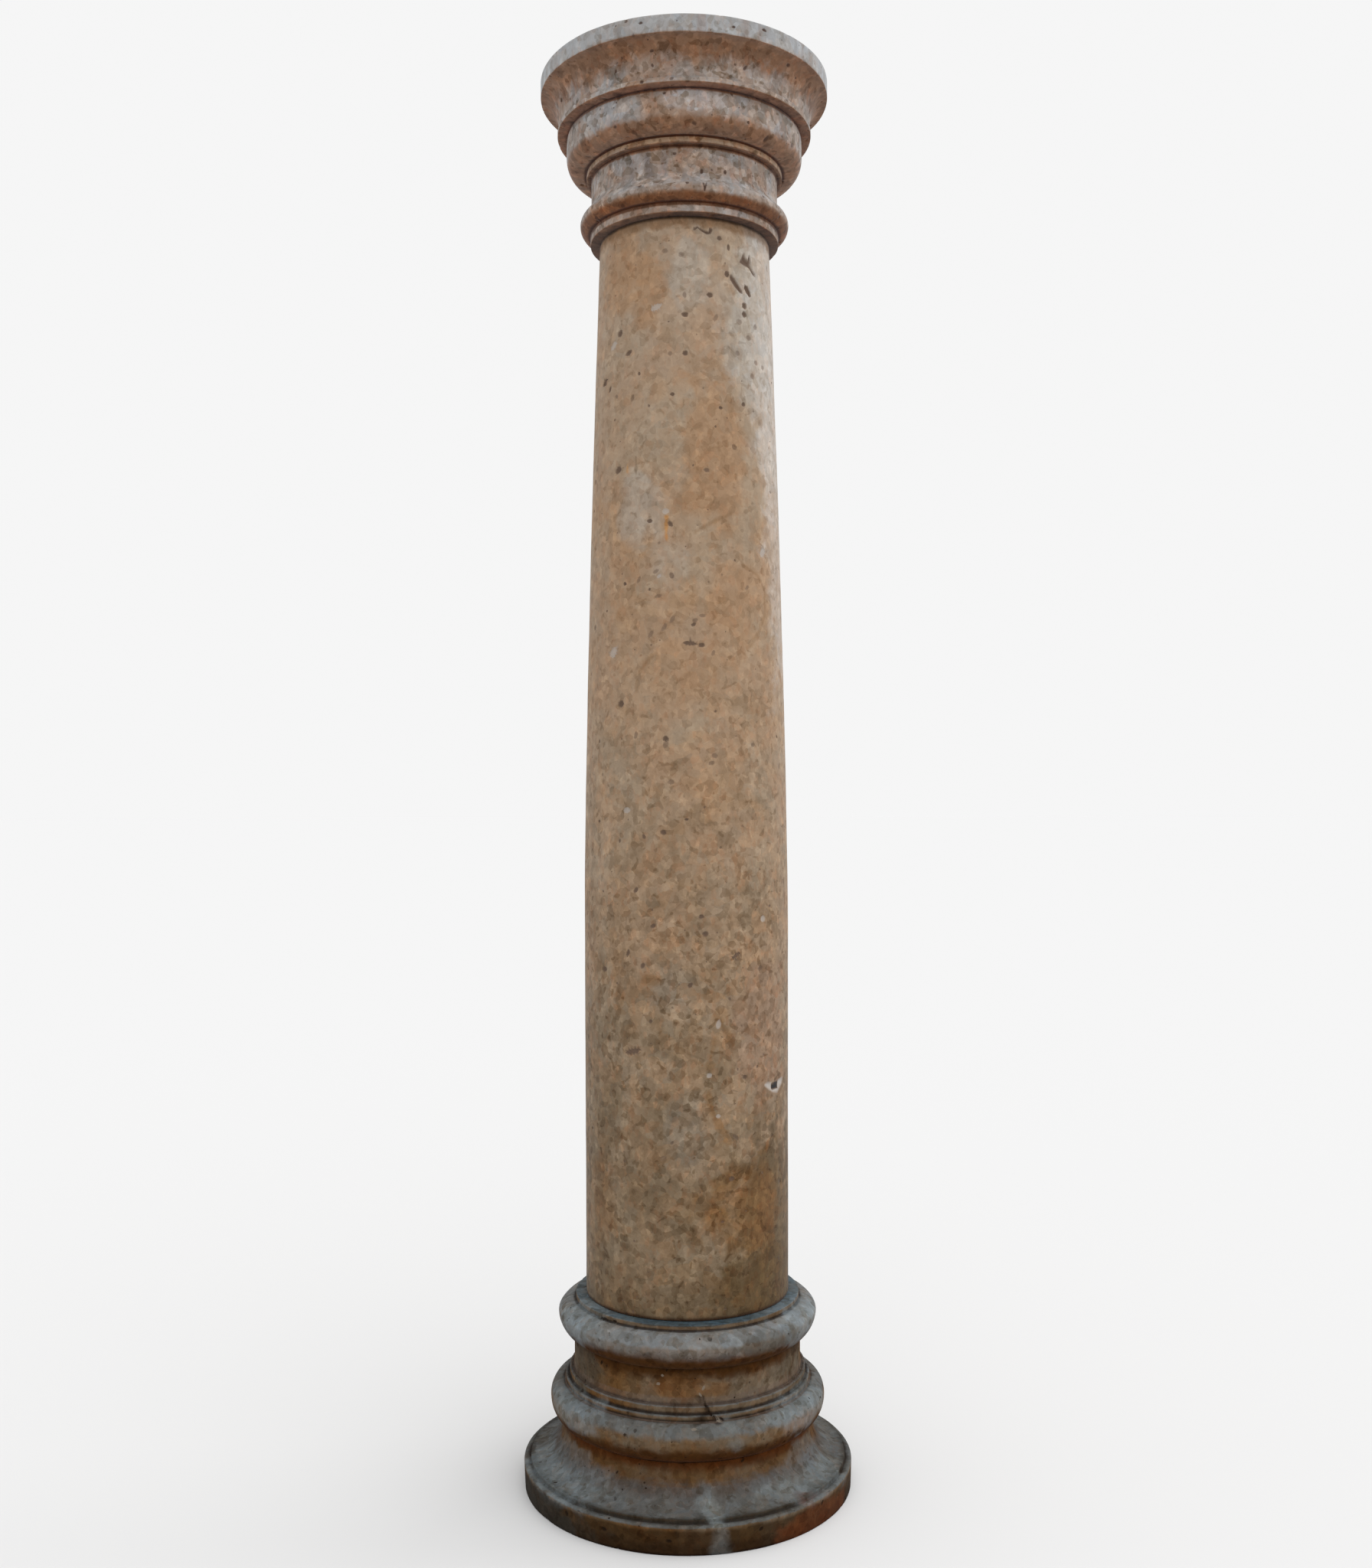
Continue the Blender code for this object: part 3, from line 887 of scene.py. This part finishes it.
def stroke(tree, place, raggedness, width, *points):
    """A ragged brush stroke through points of the face, each an angle, a height and a radius."""
    nearest = None
    for start, end in zip(points, points[1:]):
        begin = on_face(*start)
        way = on_face(*end) - begin
        away = add_node(tree, "ShaderNodeVectorMath", operation="SUBTRACT", inputs={0: place, 1: begin})
        share = add_node(tree, "ShaderNodeVectorMath", operation="DOT_PRODUCT",
                         inputs={0: away.outputs[0], 1: way / way.length_squared})
        held = add_node(tree, "ShaderNodeClamp", inputs={"Value": share.outputs["Value"]})
        reached = add_node(tree, "ShaderNodeVectorMath", operation="SCALE",
                           inputs={0: way, "Scale": held.outputs["Result"]})
        far = add_node(tree, "ShaderNodeVectorMath", operation="DISTANCE",
                       inputs={0: away.outputs[0], 1: reached.outputs[0]}).outputs["Value"]
        nearest = far if nearest is None else add_node(tree, "ShaderNodeMath", operation="MINIMUM",
                                                       inputs={0: nearest, 1: far}).outputs[0]
    return between(tree, plus(tree, nearest, raggedness, 1.5 * width), 1.3 * width, 0.8 * width)


def band(tree, ragged, height, bottom, top, soft):
    """A level band between two heights, with ragged and soft edges."""
    level = plus(tree, height, ragged, 2.0 * soft)
    above = between(tree, level, bottom, bottom + 2.0 * soft)
    return times(tree, above, between(tree, level, top + 2.0 * soft, top))


print("the front of the column is at", round(math.degrees(FRONT)), "degrees")

# %% [markdown]
# ## The ground coats
# The ground came with the stone: clouds of tan, grey and ochre. Damp and iron then drew patches
# and veins in it, and some patches are painted shade and painted light. The noises that several
# coats share are made once, so that a vein and the stain beside it are ragged in the same way.

# %% Ground, patches and veins
class Noises:
    """The place on the stone, and the noises that the coats of one finish share."""

    def __init__(self, tree):
        self.place = add_node(tree, "ShaderNodeTexCoord").outputs["Object"]
        sides = add_node(tree, "ShaderNodeSeparateXYZ", inputs={0: self.place})
        self.behind, self.height = sides.outputs["Y"], sides.outputs["Z"]
        self.broad = clouds(tree, moved(tree, self.place, (3.1, 0.0, 1.7), (1.0, 1.0, 0.8)), 6.0, 5.0, 0.7)
        self.ragged = clouds(tree, moved(tree, self.place, (6.0, 3.3, 2.0)), 16.0, 5.0, 0.7)
        self.mottle = clouds(tree, moved(tree, self.place, (2.0, 6.0, 3.0)), 38.0, 2.0, 0.6)
        self.runs = clouds(tree, moved(tree, self.place, (0.0, 5.0, 0.0), (1.0, 1.0, 0.12)), 34.0, 3.0, 0.3)
        self.grain = clouds(tree, self.place, 190.0, 2.0)
        crooked = bent(tree, moved(tree, self.place, (1.0, 0.0, 0.5)), 30.0, 0.022)
        self.large, self.hue = flakes(tree, crooked, 36.0)


def ground(tree, noises, tones, tint):
    """Soft clouds of tan, grey and ochre, and tints that come in with the height."""
    colour = blend(tree, between(tree, noises.broad, 0.40, 0.64), tones["tan"], tones["grey"])
    warm = clouds(tree, moved(tree, noises.place, (0.0, 7.3, 4.0)), 9.0, 5.0, 0.9)
    colour = blend(tree, between(tree, warm, 0.50, 0.70), colour, tones["ochre"])
    for kind, strength, start, full in tint:
        span = abs(full - start)
        level = plus(tree, noises.height, noises.ragged, span)
        mask = between(tree, level, start + span / 2.0, full + span / 2.0)
        colour = glaze(tree, colour, tones[kind], mask, strength)
    return colour


def patched(tree, noises, colour, tones, blotches, strokes):
    """Patches and veins, some of them painted shade and painted light. Nobody has mapped the back, so noise
    sets the patches there.
    """
    for kind, strength, *spot in blotches:
        mask = blotch(tree, noises.place, noises.ragged, *spot)
        colour = glaze(tree, colour, tones[kind], mask, strength)
    back = between(tree, noises.behind, -0.02, 0.09)
    for kind, seed in (("rust", 2.0), ("cloud", 5.0)):
        patchy = clouds(tree, moved(tree, noises.place, (seed, seed, 1.0), (1.0, 1.0, 0.7)), 5.0, 5.0, 0.5)
        mask = times(tree, between(tree, patchy, 0.51, 0.63), back)
        colour = glaze(tree, colour, tones[kind], mask, 0.6)
    for kind, strength, *line in strokes:
        mask = stroke(tree, noises.place, noises.mottle, *line)
        colour = glaze(tree, colour, tones[kind], mask, strength)
    return colour


print("ground coats: tan, grey, ochre, tints, patches and veins")

# %% [markdown]
# ## The weather's coats
# Rain, sky light and dirt work on the whole stone. A brown crust and painted shade lie where it
# is dry and sheltered, the open faces are bleached and painted with sky light, dirty water runs
# down, and the inner corners fill up with dirt and painted shade. The stored amounts of rain and
# sky light and of dirt in corners drive these coats. A little noise added to each keeps their
# edges from looking drawn.

# %% Rain and sky light, crust and shade, runs and stains
def weathered(tree, noises, colour, tones, weather, bands):
    """Crust and painted shade, bleached and sky-lit faces, grime, runs of dirty water, level bands and dirt
    and painted shade in the corners.
    """
    drift = clouds(tree, moved(tree, noises.place, (4.0, 1.0, 6.0)), 34.0, 5.0, 0.8)
    rain_and_sky_share = plus(tree, attribute(tree, "rain_and_sky"), drift, 0.5)
    # Crust where it is dry, partly painted shade, and a pale wash on open faces, partly painted sky light
    colour = glaze(tree, colour, tones["crust_and_shade"], between(tree, rain_and_sky_share, 0.70, 0.38), weather["crust_and_shade"])
    washed_and_skylit = blend(tree, between(tree, noises.height, 0.15, 0.37), tones["washed_and_skylit_low"], tones["washed_and_skylit"])
    colour = glaze(tree, colour, washed_and_skylit, between(tree, rain_and_sky_share, 0.85, 1.25), weather["bleach_and_light"])
    grimy = times(tree, between(tree, rain_and_sky_share, 1.10, 1.45), between(tree, noises.broad, 0.44, 0.60))
    colour = glaze(tree, colour, tones["grime"], grimy, 0.6)
    colour = glaze(tree, colour, tones["crust_and_shade"], between(tree, noises.runs, 0.52, 0.7), weather["runs"])
    for kind, strength, *edges in bands:
        mask = band(tree, noises.ragged, noises.height, *edges)
        colour = glaze(tree, colour, tones[kind], mask, strength)
    # Dark lines in the inner corners: dirt and painted shade
    nook = plus(tree, attribute(tree, "nook"), noises.runs, 0.5)
    return glaze(tree, colour, tones["nook"], between(tree, nook, 0.50, 1.10), weather["nooks"])


def stained(tree, noises, colour, tones, stains):
    """Single stains on top of the weather, some of them painted shade and painted light. Each one says
    first which kind of mark it is.
    """
    for shape, kind, strength, *spot in stains:
        if shape == "band":
            mask = band(tree, noises.ragged, noises.height, *spot)
        else:
            mask = {"blotch": blotch, "stroke": stroke}[shape](tree, noises.place, noises.ragged, *spot)
        colour = glaze(tree, colour, tones[kind], mask, strength)
    return colour


print("weather coats: crust, bleach, grime, runs, bands, nooks and stains")

# %% [markdown]
# ## Flecks, holes and tooth
# Seen close, travertine is a patchwork of small flakes, each a little lighter, darker, warmer
# or cooler than the next. So a flake multiplies the colour under it and doesn't hide it. The
# holes are coloured last, because dirt and painted shade fill them whatever the face is like.
# They are painted darker the deeper they go.

# %% Flakes, flecks and grain
def flecked(tree, noises, colour, tones, flecks):
    """Flakes of three sizes, leaf-shaped flecks, spots and grain."""
    level = between(tree, noises.height, flecks["from"], flecks["to"])
    strength = add_node(tree, "ShaderNodeMapRange", clamp=True,
                        inputs={"Value": level, "To Min": flecks["low"], "To Max": flecks["high"]})
    place = noises.place
    small, _ = flakes(tree, bent(tree, moved(tree, place, (0.0, 3.0, 0.5)), 60.0, 0.011), 72.0)
    slim = moved(tree, place, (4.0, 4.0, 0.5), (1.0, 1.0, 0.6))
    fleck, tinge = flakes(tree, bent(tree, slim, 90.0, 0.0035), 110.0)
    spots = clouds(tree, moved(tree, place, (5.0, 8.0, 2.0)), 46.0, 1.0, 0.4)
    leaf = clouds(tree, moved(tree, place, (9.0, 2.0, 0.0)), 24.0, 2.0, 1.2)
    # The noise, where its mask starts and is full, the tone and its share
    for value, start, full, kind, share in (
            (noises.hue, 0.55, 0.85, "warm", 0.9), (noises.hue, 0.40, 0.10, "cool", 0.6),
            (fleck, 0.86, 0.94, "pale", flecks["fine"]), (fleck, 0.14, 0.06, "dark", 0.5 * flecks["fine"]),
            (tinge, 0.78, 0.90, "red", flecks["fine"]), (noises.large, 0.34, 0.08, "dark", 0.3),
            (noises.large, 0.62, 0.92, "pale", 0.35), (small, 0.30, 0.08, "dark", 0.6),
            (small, 0.66, 0.90, "pale", 0.6), (noises.mottle, 0.53, 0.66, "dark", 0.35),
            (noises.mottle, 0.47, 0.34, "pale", 0.35), (leaf, 0.61, 0.65, "dark", 0.35),
            (spots, 0.64, 0.69, "dark", 0.85), (noises.grain, 0.5, 0.75, "dark", 0.25),
            (noises.grain, 0.47, 0.3, "pale", 0.2)):
        mask = times(tree, between(tree, value, start, full), share)
        tinted = blend(tree, 1.0, colour, tones["by_" + kind], "MULTIPLY")
        colour = glaze(tree, colour, tinted, mask, strength.outputs["Result"])
    return colour


print("large flakes are about", round(1000 / 36), "mm wide")

# %% Holes, tooth and the whole recipe
COOL_DUST = (0.86, 0.94, 1.0, 1.0)
DEEP_SHADE = paint(44, 40, 40)


def holed(tree, colour, tones):
    """The inside of holes, painted darker with depth as dirt and painted shade, of fresh chips, and of the
    dark cores of odd shapes.
    """
    fresh = attribute(tree, "fresh")
    inner = blend(tree, between(tree, fresh, 0.0, 1.0, False), tones["hole"], tones["chip"])
    inner = blend(tree, between(tree, fresh, 0.0, -1.0, False), inner, DEEP_SHADE)
    return blend(tree, between(tree, attribute(tree, "hollow"), 0.0, 1.0, False), colour, inner)


def worn_face(tree, noises, colour, dusty):
    """The shader: a fine tooth, flakes of slightly different roughness, and a sheen of dust."""
    tooth = plus(tree, times(tree, noises.large, 0.35), noises.grain, 0.6)
    relief = plus(tree, tooth, noises.mottle, -0.8)
    bump = add_node(tree, "ShaderNodeBump", inputs={"Strength": 0.4, "Distance": 0.0014, "Height": relief})
    rough = add_node(tree, "ShaderNodeMapRange",
                     inputs={"Value": noises.large, "To Min": 0.84, "To Max": 1.0})
    shader = add_node(tree, "ShaderNodeBsdfPrincipled",
                      inputs={"Base Color": colour, "Roughness": rough.outputs["Result"],
                              "Normal": bump.outputs["Normal"], "Specular IOR Level": 0.8 * dusty,
                              "Sheen Weight": dusty, "Sheen Roughness": 0.45, "Sheen Tint": COOL_DUST})
    return shader.outputs["BSDF"]


def travertine(name, tones, flecks, weather, dusty, tint=(), blotches=(), strokes=(), bands=(), stains=()):
    """A weathered travertine. flecks and weather say how strong their coats are."""
    material = bpy.data.materials.new(name)
    material.use_nodes = True
    tree = material.node_tree
    tree.nodes.clear()
    noises = Noises(tree)
    colour = ground(tree, noises, tones, tint)
    colour = patched(tree, noises, colour, tones, blotches, strokes)
    colour = weathered(tree, noises, colour, tones, weather, bands)
    colour = stained(tree, noises, colour, tones, stains)
    colour = flecked(tree, noises, colour, tones, flecks)
    face = worn_face(tree, noises, holed(tree, colour, tones), dusty)
    add_node(tree, "ShaderNodeOutputMaterial", inputs={"Surface": face})
    print(name, "has", len(tree.nodes), "nodes")
    return material


print("the dark core of a hole in linear light:", [round(value, 3) for value in DEEP_SHADE[:3]])

# %% [markdown]
# ## Three tints of one stone
# The three stones came from one quarry but have weathered apart. The shaft is warm tan with
# ochre clouds. The capital is greyer where it faces out, partly bleaching and partly painted sky
# light, and brown in its hollows, partly crust and partly painted shade. The base is the darkest:
# splashed soil and painted shade darken its foot, and only its ledges are washed clean and pale,
# partly painted sky light.

# %% The shaft's finish
# What a flake multiplies the colour under it by
FLAKE_TONES = {"by_pale": (1.34, 1.35, 1.35, 1.0), "by_dark": (0.56, 0.49, 0.40, 1.0),
               "by_warm": (1.06, 0.98, 0.91, 1.0), "by_cool": (0.95, 1.0, 1.07, 1.0),
               "by_red": (1.10, 0.92, 0.82, 1.0)}

shaft_tones = {
    "tan": paint(153, 128, 104), "grey": paint(151, 132, 111), "ochre": paint(154, 127, 100),
    "cloud": paint(159, 149, 137), "hole": paint(98, 80, 68), "chip": paint(168, 160, 153),
    "washed_and_skylit": paint(158, 150, 142), "washed_and_skylit_low": paint(120, 112, 102), "crust_and_shade": paint(118, 88, 60),
    "grime": paint(120, 112, 102), "soil_and_shade": paint(109, 93, 73), "shadow": paint(82, 64, 40),
    "rust": paint(150, 120, 92), "nook": paint(54, 36, 22), "vein": paint(112, 80, 46),
    "ash": paint(120, 109, 95), "pink": paint(136, 111, 91), "orange": paint(170, 118, 56),
    "bleach_and_light": paint(184, 179, 174), **FLAKE_TONES,
}
# Tone and strength, then the heights where the tint starts and where it is full
# Lighter towards the top and darker towards the foot, with soil and painted shade low down
shaft_tint = (("cloud", 0.25, 2.1, 2.8), ("soil_and_shade", 0.9, 2.05, 0.3), ("shadow", 0.45, 0.56, 0.40))
# Tone and strength, then angle, height and radius of the middle, and the blotch's width and height
shaft_blotches = (
    ("rust", 0.8, -46.0, 2.67, 0.196, 0.075, 0.10), ("rust", 0.7, -24.0, 2.61, 0.198, 0.04, 0.07),
    ("rust", 0.75, 17.0, 2.27, 0.210, 0.085, 0.19), ("cloud", 0.9, 48.0, 2.56, 0.20, 0.085, 0.20),
    ("cloud", 0.7, 4.0, 2.66, 0.196, 0.045, 0.10), ("cloud", 0.6, -28.0, 2.15, 0.211, 0.055, 0.09),
    ("rust", 0.5, 30.0, 1.93, 0.218, 0.08, 0.13), ("rust", 0.45, -8.0, 1.79, 0.220, 0.08, 0.08),
    ("rust", 0.4, -40.0, 2.00, 0.215, 0.05, 0.09), ("cloud", 0.35, -8.0, 2.03, 0.215, 0.05, 0.06),
    # The two pale blotches high on the right flank are painted light
    ("bleach_and_light", 0.40, 70.0, 2.62, 0.200, 0.110, 0.50), ("bleach_and_light", 0.35, 76.0, 2.25, 0.206, 0.085, 0.60),
    ("pink", 0.7, 47.0, 1.02, 0.229, 0.09, 0.17), ("ash", 0.6, 1.0, 0.82, 0.229, 0.05, 0.09),
    ("ash", 0.5, -8.0, 1.12, 0.229, 0.05, 0.06), ("vein", 0.5, -18.7, 1.14, 0.229, 0.030, 0.016),
    ("vein", 0.4, -39.0, 1.10, 0.229, 0.014, 0.03), ("vein", 0.4, 18.5, 1.067, 0.229, 0.02, 0.02),
    ("shadow", 0.7, 60.0, 0.52, 0.229, 0.17, 0.32), ("vein", 0.5, 34.0, 0.64, 0.229, 0.11, 0.10),
    ("vein", 0.4, 16.0, 0.63, 0.229, 0.03, 0.03), ("shadow", 0.2, -64.0, 0.80, 0.229, 0.09, 0.32),
    ("vein", 0.35, -53.0, 0.66, 0.229, 0.05, 0.10), ("shadow", 0.6, 68.0, 0.47, 0.229, 0.10, 0.12),
    ("shadow", 0.5, 36.0, 0.465, 0.229, 0.12, 0.09),
)
# Tone, strength and width, then points of the stroke: angle, height and radius
shaft_veins = (
    ("vein", 0.50, 0.022, (18.5, 1.046, 0.229), (25.5, 1.003, 0.229)),
    ("vein", 0.45, 0.024, (14.5, 1.010, 0.229), (11.8, 0.955, 0.229)),
    ("vein", 0.55, 0.022, (11.6, 0.893, 0.229), (15.7, 0.844, 0.229), (22.8, 0.797, 0.229)),
    ("vein", 0.55, 0.022, (50.2, 0.773, 0.229), (39.7, 0.753, 0.229)),
    ("vein", 0.50, 0.020, (38.0, 0.735, 0.229), (33.0, 0.710, 0.229)),
    ("vein", 0.35, 0.013, (35.7, 2.026, 0.216), (46.7, 2.010, 0.216), (52.9, 1.977, 0.217),
     (52.3, 1.926, 0.218), (45.5, 1.879, 0.219), (37.3, 1.849, 0.219)),
    ("vein", 0.40, 0.014, (5.7, 2.093, 0.213), (14.7, 2.114, 0.212), (27.5, 2.136, 0.212)),
    ("vein", 0.35, 0.014, (-19.0, 1.829, 0.220), (-26.7, 1.797, 0.220), (-28.2, 1.759, 0.221)),
    ("orange", 0.6, 0.009, (-10.9, 2.125, 0.212), (-10.9, 2.075, 0.213)),
    ("orange", 0.5, 0.012, (-36.5, 2.248, 0.209), (-36.5, 2.232, 0.209)),
    ("shadow", 0.35, 0.009, (-30.5, 2.262, 0.209), (-30.0, 2.225, 0.209)),
)
shaft.data.materials.append(travertine(
    "shaft_finish", shaft_tones, dusty=0.1, tint=shaft_tint, blotches=shaft_blotches, strokes=shaft_veins,
    flecks={"low": 0.80, "high": 0.45, "from": 0.95, "to": 1.9, "fine": 0.60},
    weather={"crust_and_shade": 0.7, "bleach_and_light": 0.5, "runs": 0.08, "nooks": 0.9}))

# %% [markdown]
# ## The capital's finish
# Rain and sky light reach the capital from all sides, so its faces are grey, partly bleaching and
# partly painted sky light, its undersides brown, partly crust and partly painted shade, and thin
# lines of dirt and painted shade follow each fillet. Those lines are level bands only a
# millimetre or two wide.

# %% Finish the capital
capital_tones = {
    "tan": paint(141, 127, 117), "grey": paint(145, 141, 139), "ochre": paint(142, 121, 106),
    "hole": paint(74, 54, 44), "chip": paint(180, 178, 178), "washed_and_skylit": paint(152, 154, 156),
    "washed_and_skylit_low": paint(152, 154, 156), "crust_and_shade": paint(118, 86, 63), "grime": paint(104, 96, 86),
    "nook": paint(58, 26, 6), "drip_and_shade": paint(98, 58, 30), "rust": paint(136, 106, 82),
    "cloud": paint(150, 144, 140), "sand": paint(158, 130, 104), "umber": paint(62, 36, 20),
    "soft": paint(106, 78, 60), "red": paint(104, 64, 44), "slate": paint(112, 108, 112),
    "frost": paint(178, 173, 172), **FLAKE_TONES,
}
# The washed tint on the abacus's top band is partly painted sky light
capital_tint = (("washed_and_skylit", 0.85, 3.104, 3.118),)
# Tone and strength, then bottom, top and softness
# The drip band on the astragal's lower half is partly painted shade
capital_bands = (("drip_and_shade", 0.75, 2.797, 2.815, 0.004),)
# The kind of mark comes first here, then the same values as above
capital_stains = (
    ("band", "sand", 0.75, 2.9282, 2.9380, 0.0012),
    ("blotch", "frost", 0.45, 2.0, 2.998, 0.266, 0.075, 0.024),
    # The thin umber, soft and red bands are dark lines under fillets and beads: dirt and painted shade
    ("band", "umber", 0.80, 2.7785, 2.7808, 0.0005), ("band", "soft", 0.55, 2.7962, 2.8008, 0.0008),
    ("band", "soft", 0.55, 2.9250, 2.9268, 0.0004), ("band", "red", 0.50, 3.0190, 3.0252, 0.0008),
    ("stroke", "slate", 0.45, 0.022, (-22.0, 2.908, 0.212), (-21.0, 2.866, 0.213)),
    ("stroke", "slate", 0.40, 0.018, (-12.0, 2.908, 0.212), (-11.5, 2.868, 0.213)),
    ("stroke", "slate", 0.35, 0.020, (-33.0, 2.902, 0.212), (-32.0, 2.862, 0.214)),
    ("stroke", "frost", 0.35, 0.020, (-27.0, 2.905, 0.212), (-27.0, 2.870, 0.213)),
)
capital.data.materials.append(travertine(
    "capital_finish", capital_tones, dusty=0.17, tint=capital_tint, bands=capital_bands,
    stains=capital_stains, flecks={"low": 0.95, "high": 0.5, "from": 3.09, "to": 3.13, "fine": 0.6},
    weather={"crust_and_shade": 0.9, "bleach_and_light": 0.4, "runs": 0.3, "nooks": 0.95}))

# %% [markdown]
# ## The base's finish
# The base stands where water splashes and stays. It is nearly black in its corners, from dirt
# and painted shade, brown where the mouldings shelter it, partly crust and partly painted shade,
# and blue-grey on the ledges that the rain washes, partly bleaching and partly painted sky light.

# %% Finish the base
base_tones = {
    "tan": paint(92, 70, 46), "grey": paint(98, 85, 70), "ochre": paint(95, 68, 40),
    "hole": paint(34, 24, 16), "chip": paint(130, 120, 108), "washed_and_skylit": paint(113, 117, 119),
    "washed_and_skylit_low": paint(82, 87, 89), "crust_and_shade": paint(62, 37, 14), "grime": paint(78, 72, 62),
    "soil_and_shade": paint(48, 33, 17), "nook": paint(28, 18, 11), "rust": paint(98, 64, 30),
    "red": paint(90, 45, 20), "ring": paint(70, 86, 95), "pale": paint(124, 131, 132),
    "cloud": paint(100, 94, 86), "cool": paint(124, 135, 140), "umber": paint(66, 42, 20),
    "ash": paint(68, 63, 54), "slate": paint(46, 43, 38), "ledge": paint(96, 82, 72),
    "damp": paint(38, 54, 62), **FLAKE_TONES,
}
base_blotches = (
    ("rust", 0.6, -4.0, 0.292, 0.26, 0.08, 0.026), ("rust", 0.5, 14.0, 0.288, 0.26, 0.045, 0.020),
    ("rust", 0.6, 52.0, 0.195, 0.30, 0.06, 0.02),
)
base_bands = (
    # The ring on the ledge at the shaft's foot is painted shade, the crust bands under the tori and the
    # last two bands at the plinth's foot are partly painted shade, and the washed band on the upper torus
    # is partly painted sky light
    ("ring", 0.8, 0.4215, 0.440, 0.001), ("crust_and_shade", 0.85, 0.316, 0.354, 0.014),
    ("crust_and_shade", 0.8, 0.130, 0.176, 0.014), ("washed_and_skylit", 0.45, 0.364, 0.400, 0.012),
    ("soil_and_shade", 0.85, -0.050, 0.052, 0.006), ("nook", 0.5, -0.050, 0.024, 0.010),
)
base_stains = (
    # The umber band here at the top of the scotia, and the red band on the next line under the lower torus,
    # are partly painted shade
    ("band", "grey", 0.65, 0.4135, 0.4205, 0.001), ("band", "umber", 0.55, 0.316, 0.344, 0.010),
    ("band", "slate", 0.80, 0.0590, 0.0680, 0.0008), ("band", "red", 0.35, 0.135, 0.160, 0.012),
    # The cool blotches on the flanks are a painted reflection of the sky
    ("blotch", "cool", 0.40, 64.0, 0.385, 0.289, 0.11, 0.045),
    ("blotch", "cool", 0.40, -64.0, 0.385, 0.289, 0.11, 0.045),
    ("blotch", "cool", 0.35, 60.0, 0.215, 0.300, 0.12, 0.040),
    ("blotch", "cool", 0.35, -60.0, 0.215, 0.300, 0.12, 0.040),
    ("blotch", "cool", 0.35, -58.0, 0.085, 0.310, 0.16, 0.045),
    ("blotch", "cool", 0.25, 55.0, 0.085, 0.310, 0.14, 0.045),
    ("stroke", "pale", 0.45, 0.050, (6.5, 0.100, 0.291), (8.2, 0.078, 0.318), (9.2, 0.062, 0.352)),
    ("stroke", "pale", 0.25, 0.055, (9.2, 0.060, 0.366), (10.6, 0.004, 0.366)),
    ("stroke", "pale", 0.35, 0.050, (16.0, 0.230, 0.283), (20.0, 0.195, 0.307)),
    ("stroke", "nook", 0.80, 0.026, (6.0, 0.275, 0.255), (9.0, 0.246, 0.267), (13.0, 0.229, 0.280)),
    ("stroke", "nook", 0.65, 0.022, (9.0, 0.246, 0.267), (4.0, 0.232, 0.277)),
    ("blotch", "red", 0.45, 47.0, 0.020, 0.367, 0.12, 0.040),
    ("blotch", "ash", 0.65, -64.0, 0.290, 0.254, 0.085, 0.06),
    ("blotch", "ash", 0.45, 66.0, 0.290, 0.254, 0.08, 0.06),
    ("blotch", "slate", 0.80, -62.0, 0.018, 0.366, 0.19, 0.034),
    ("band", "umber", 0.34, 0.088, 0.122, 0.010), ("band", "ledge", 0.45, 0.2600, 0.2740, 0.002),
    ("blotch", "ash", 0.50, 38.0, 0.380, 0.289, 0.10, 0.022),
    # Dirt and painted shade on the front of the ledge at the shaft's foot
    ("blotch", "damp", 0.60, 0.0, 0.4225, 0.240, 0.16, 0.004),
    ("band", "ledge", 0.5, 0.2582, 0.2598, 0.0003), ("band", "ledge", 0.5, 0.2298, 0.2318, 0.0003),
)
base.data.materials.append(travertine(
    "base_finish", base_tones, dusty=0.02, bands=base_bands, stains=base_stains, blotches=base_blotches,
    flecks={"low": 0.65, "high": 0.65, "from": 0.0, "to": 1.0, "fine": 0.55},
    weather={"crust_and_shade": 0.95, "bleach_and_light": 0.85, "runs": 0.08, "nooks": 0.85}))

# %% [markdown]
# ## Putting the stones in place
# Each finished stone stands for one solid and carries the name of its material, so whoever
# reuses the column finds both together.

# %% Tie the stones to the frame
for piece, stone in ((base, "base"), (shaft, "shaft"), (capital, "capital")):
    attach(piece, "root")
    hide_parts(stone)
    print(piece.name, "stands for", stone)
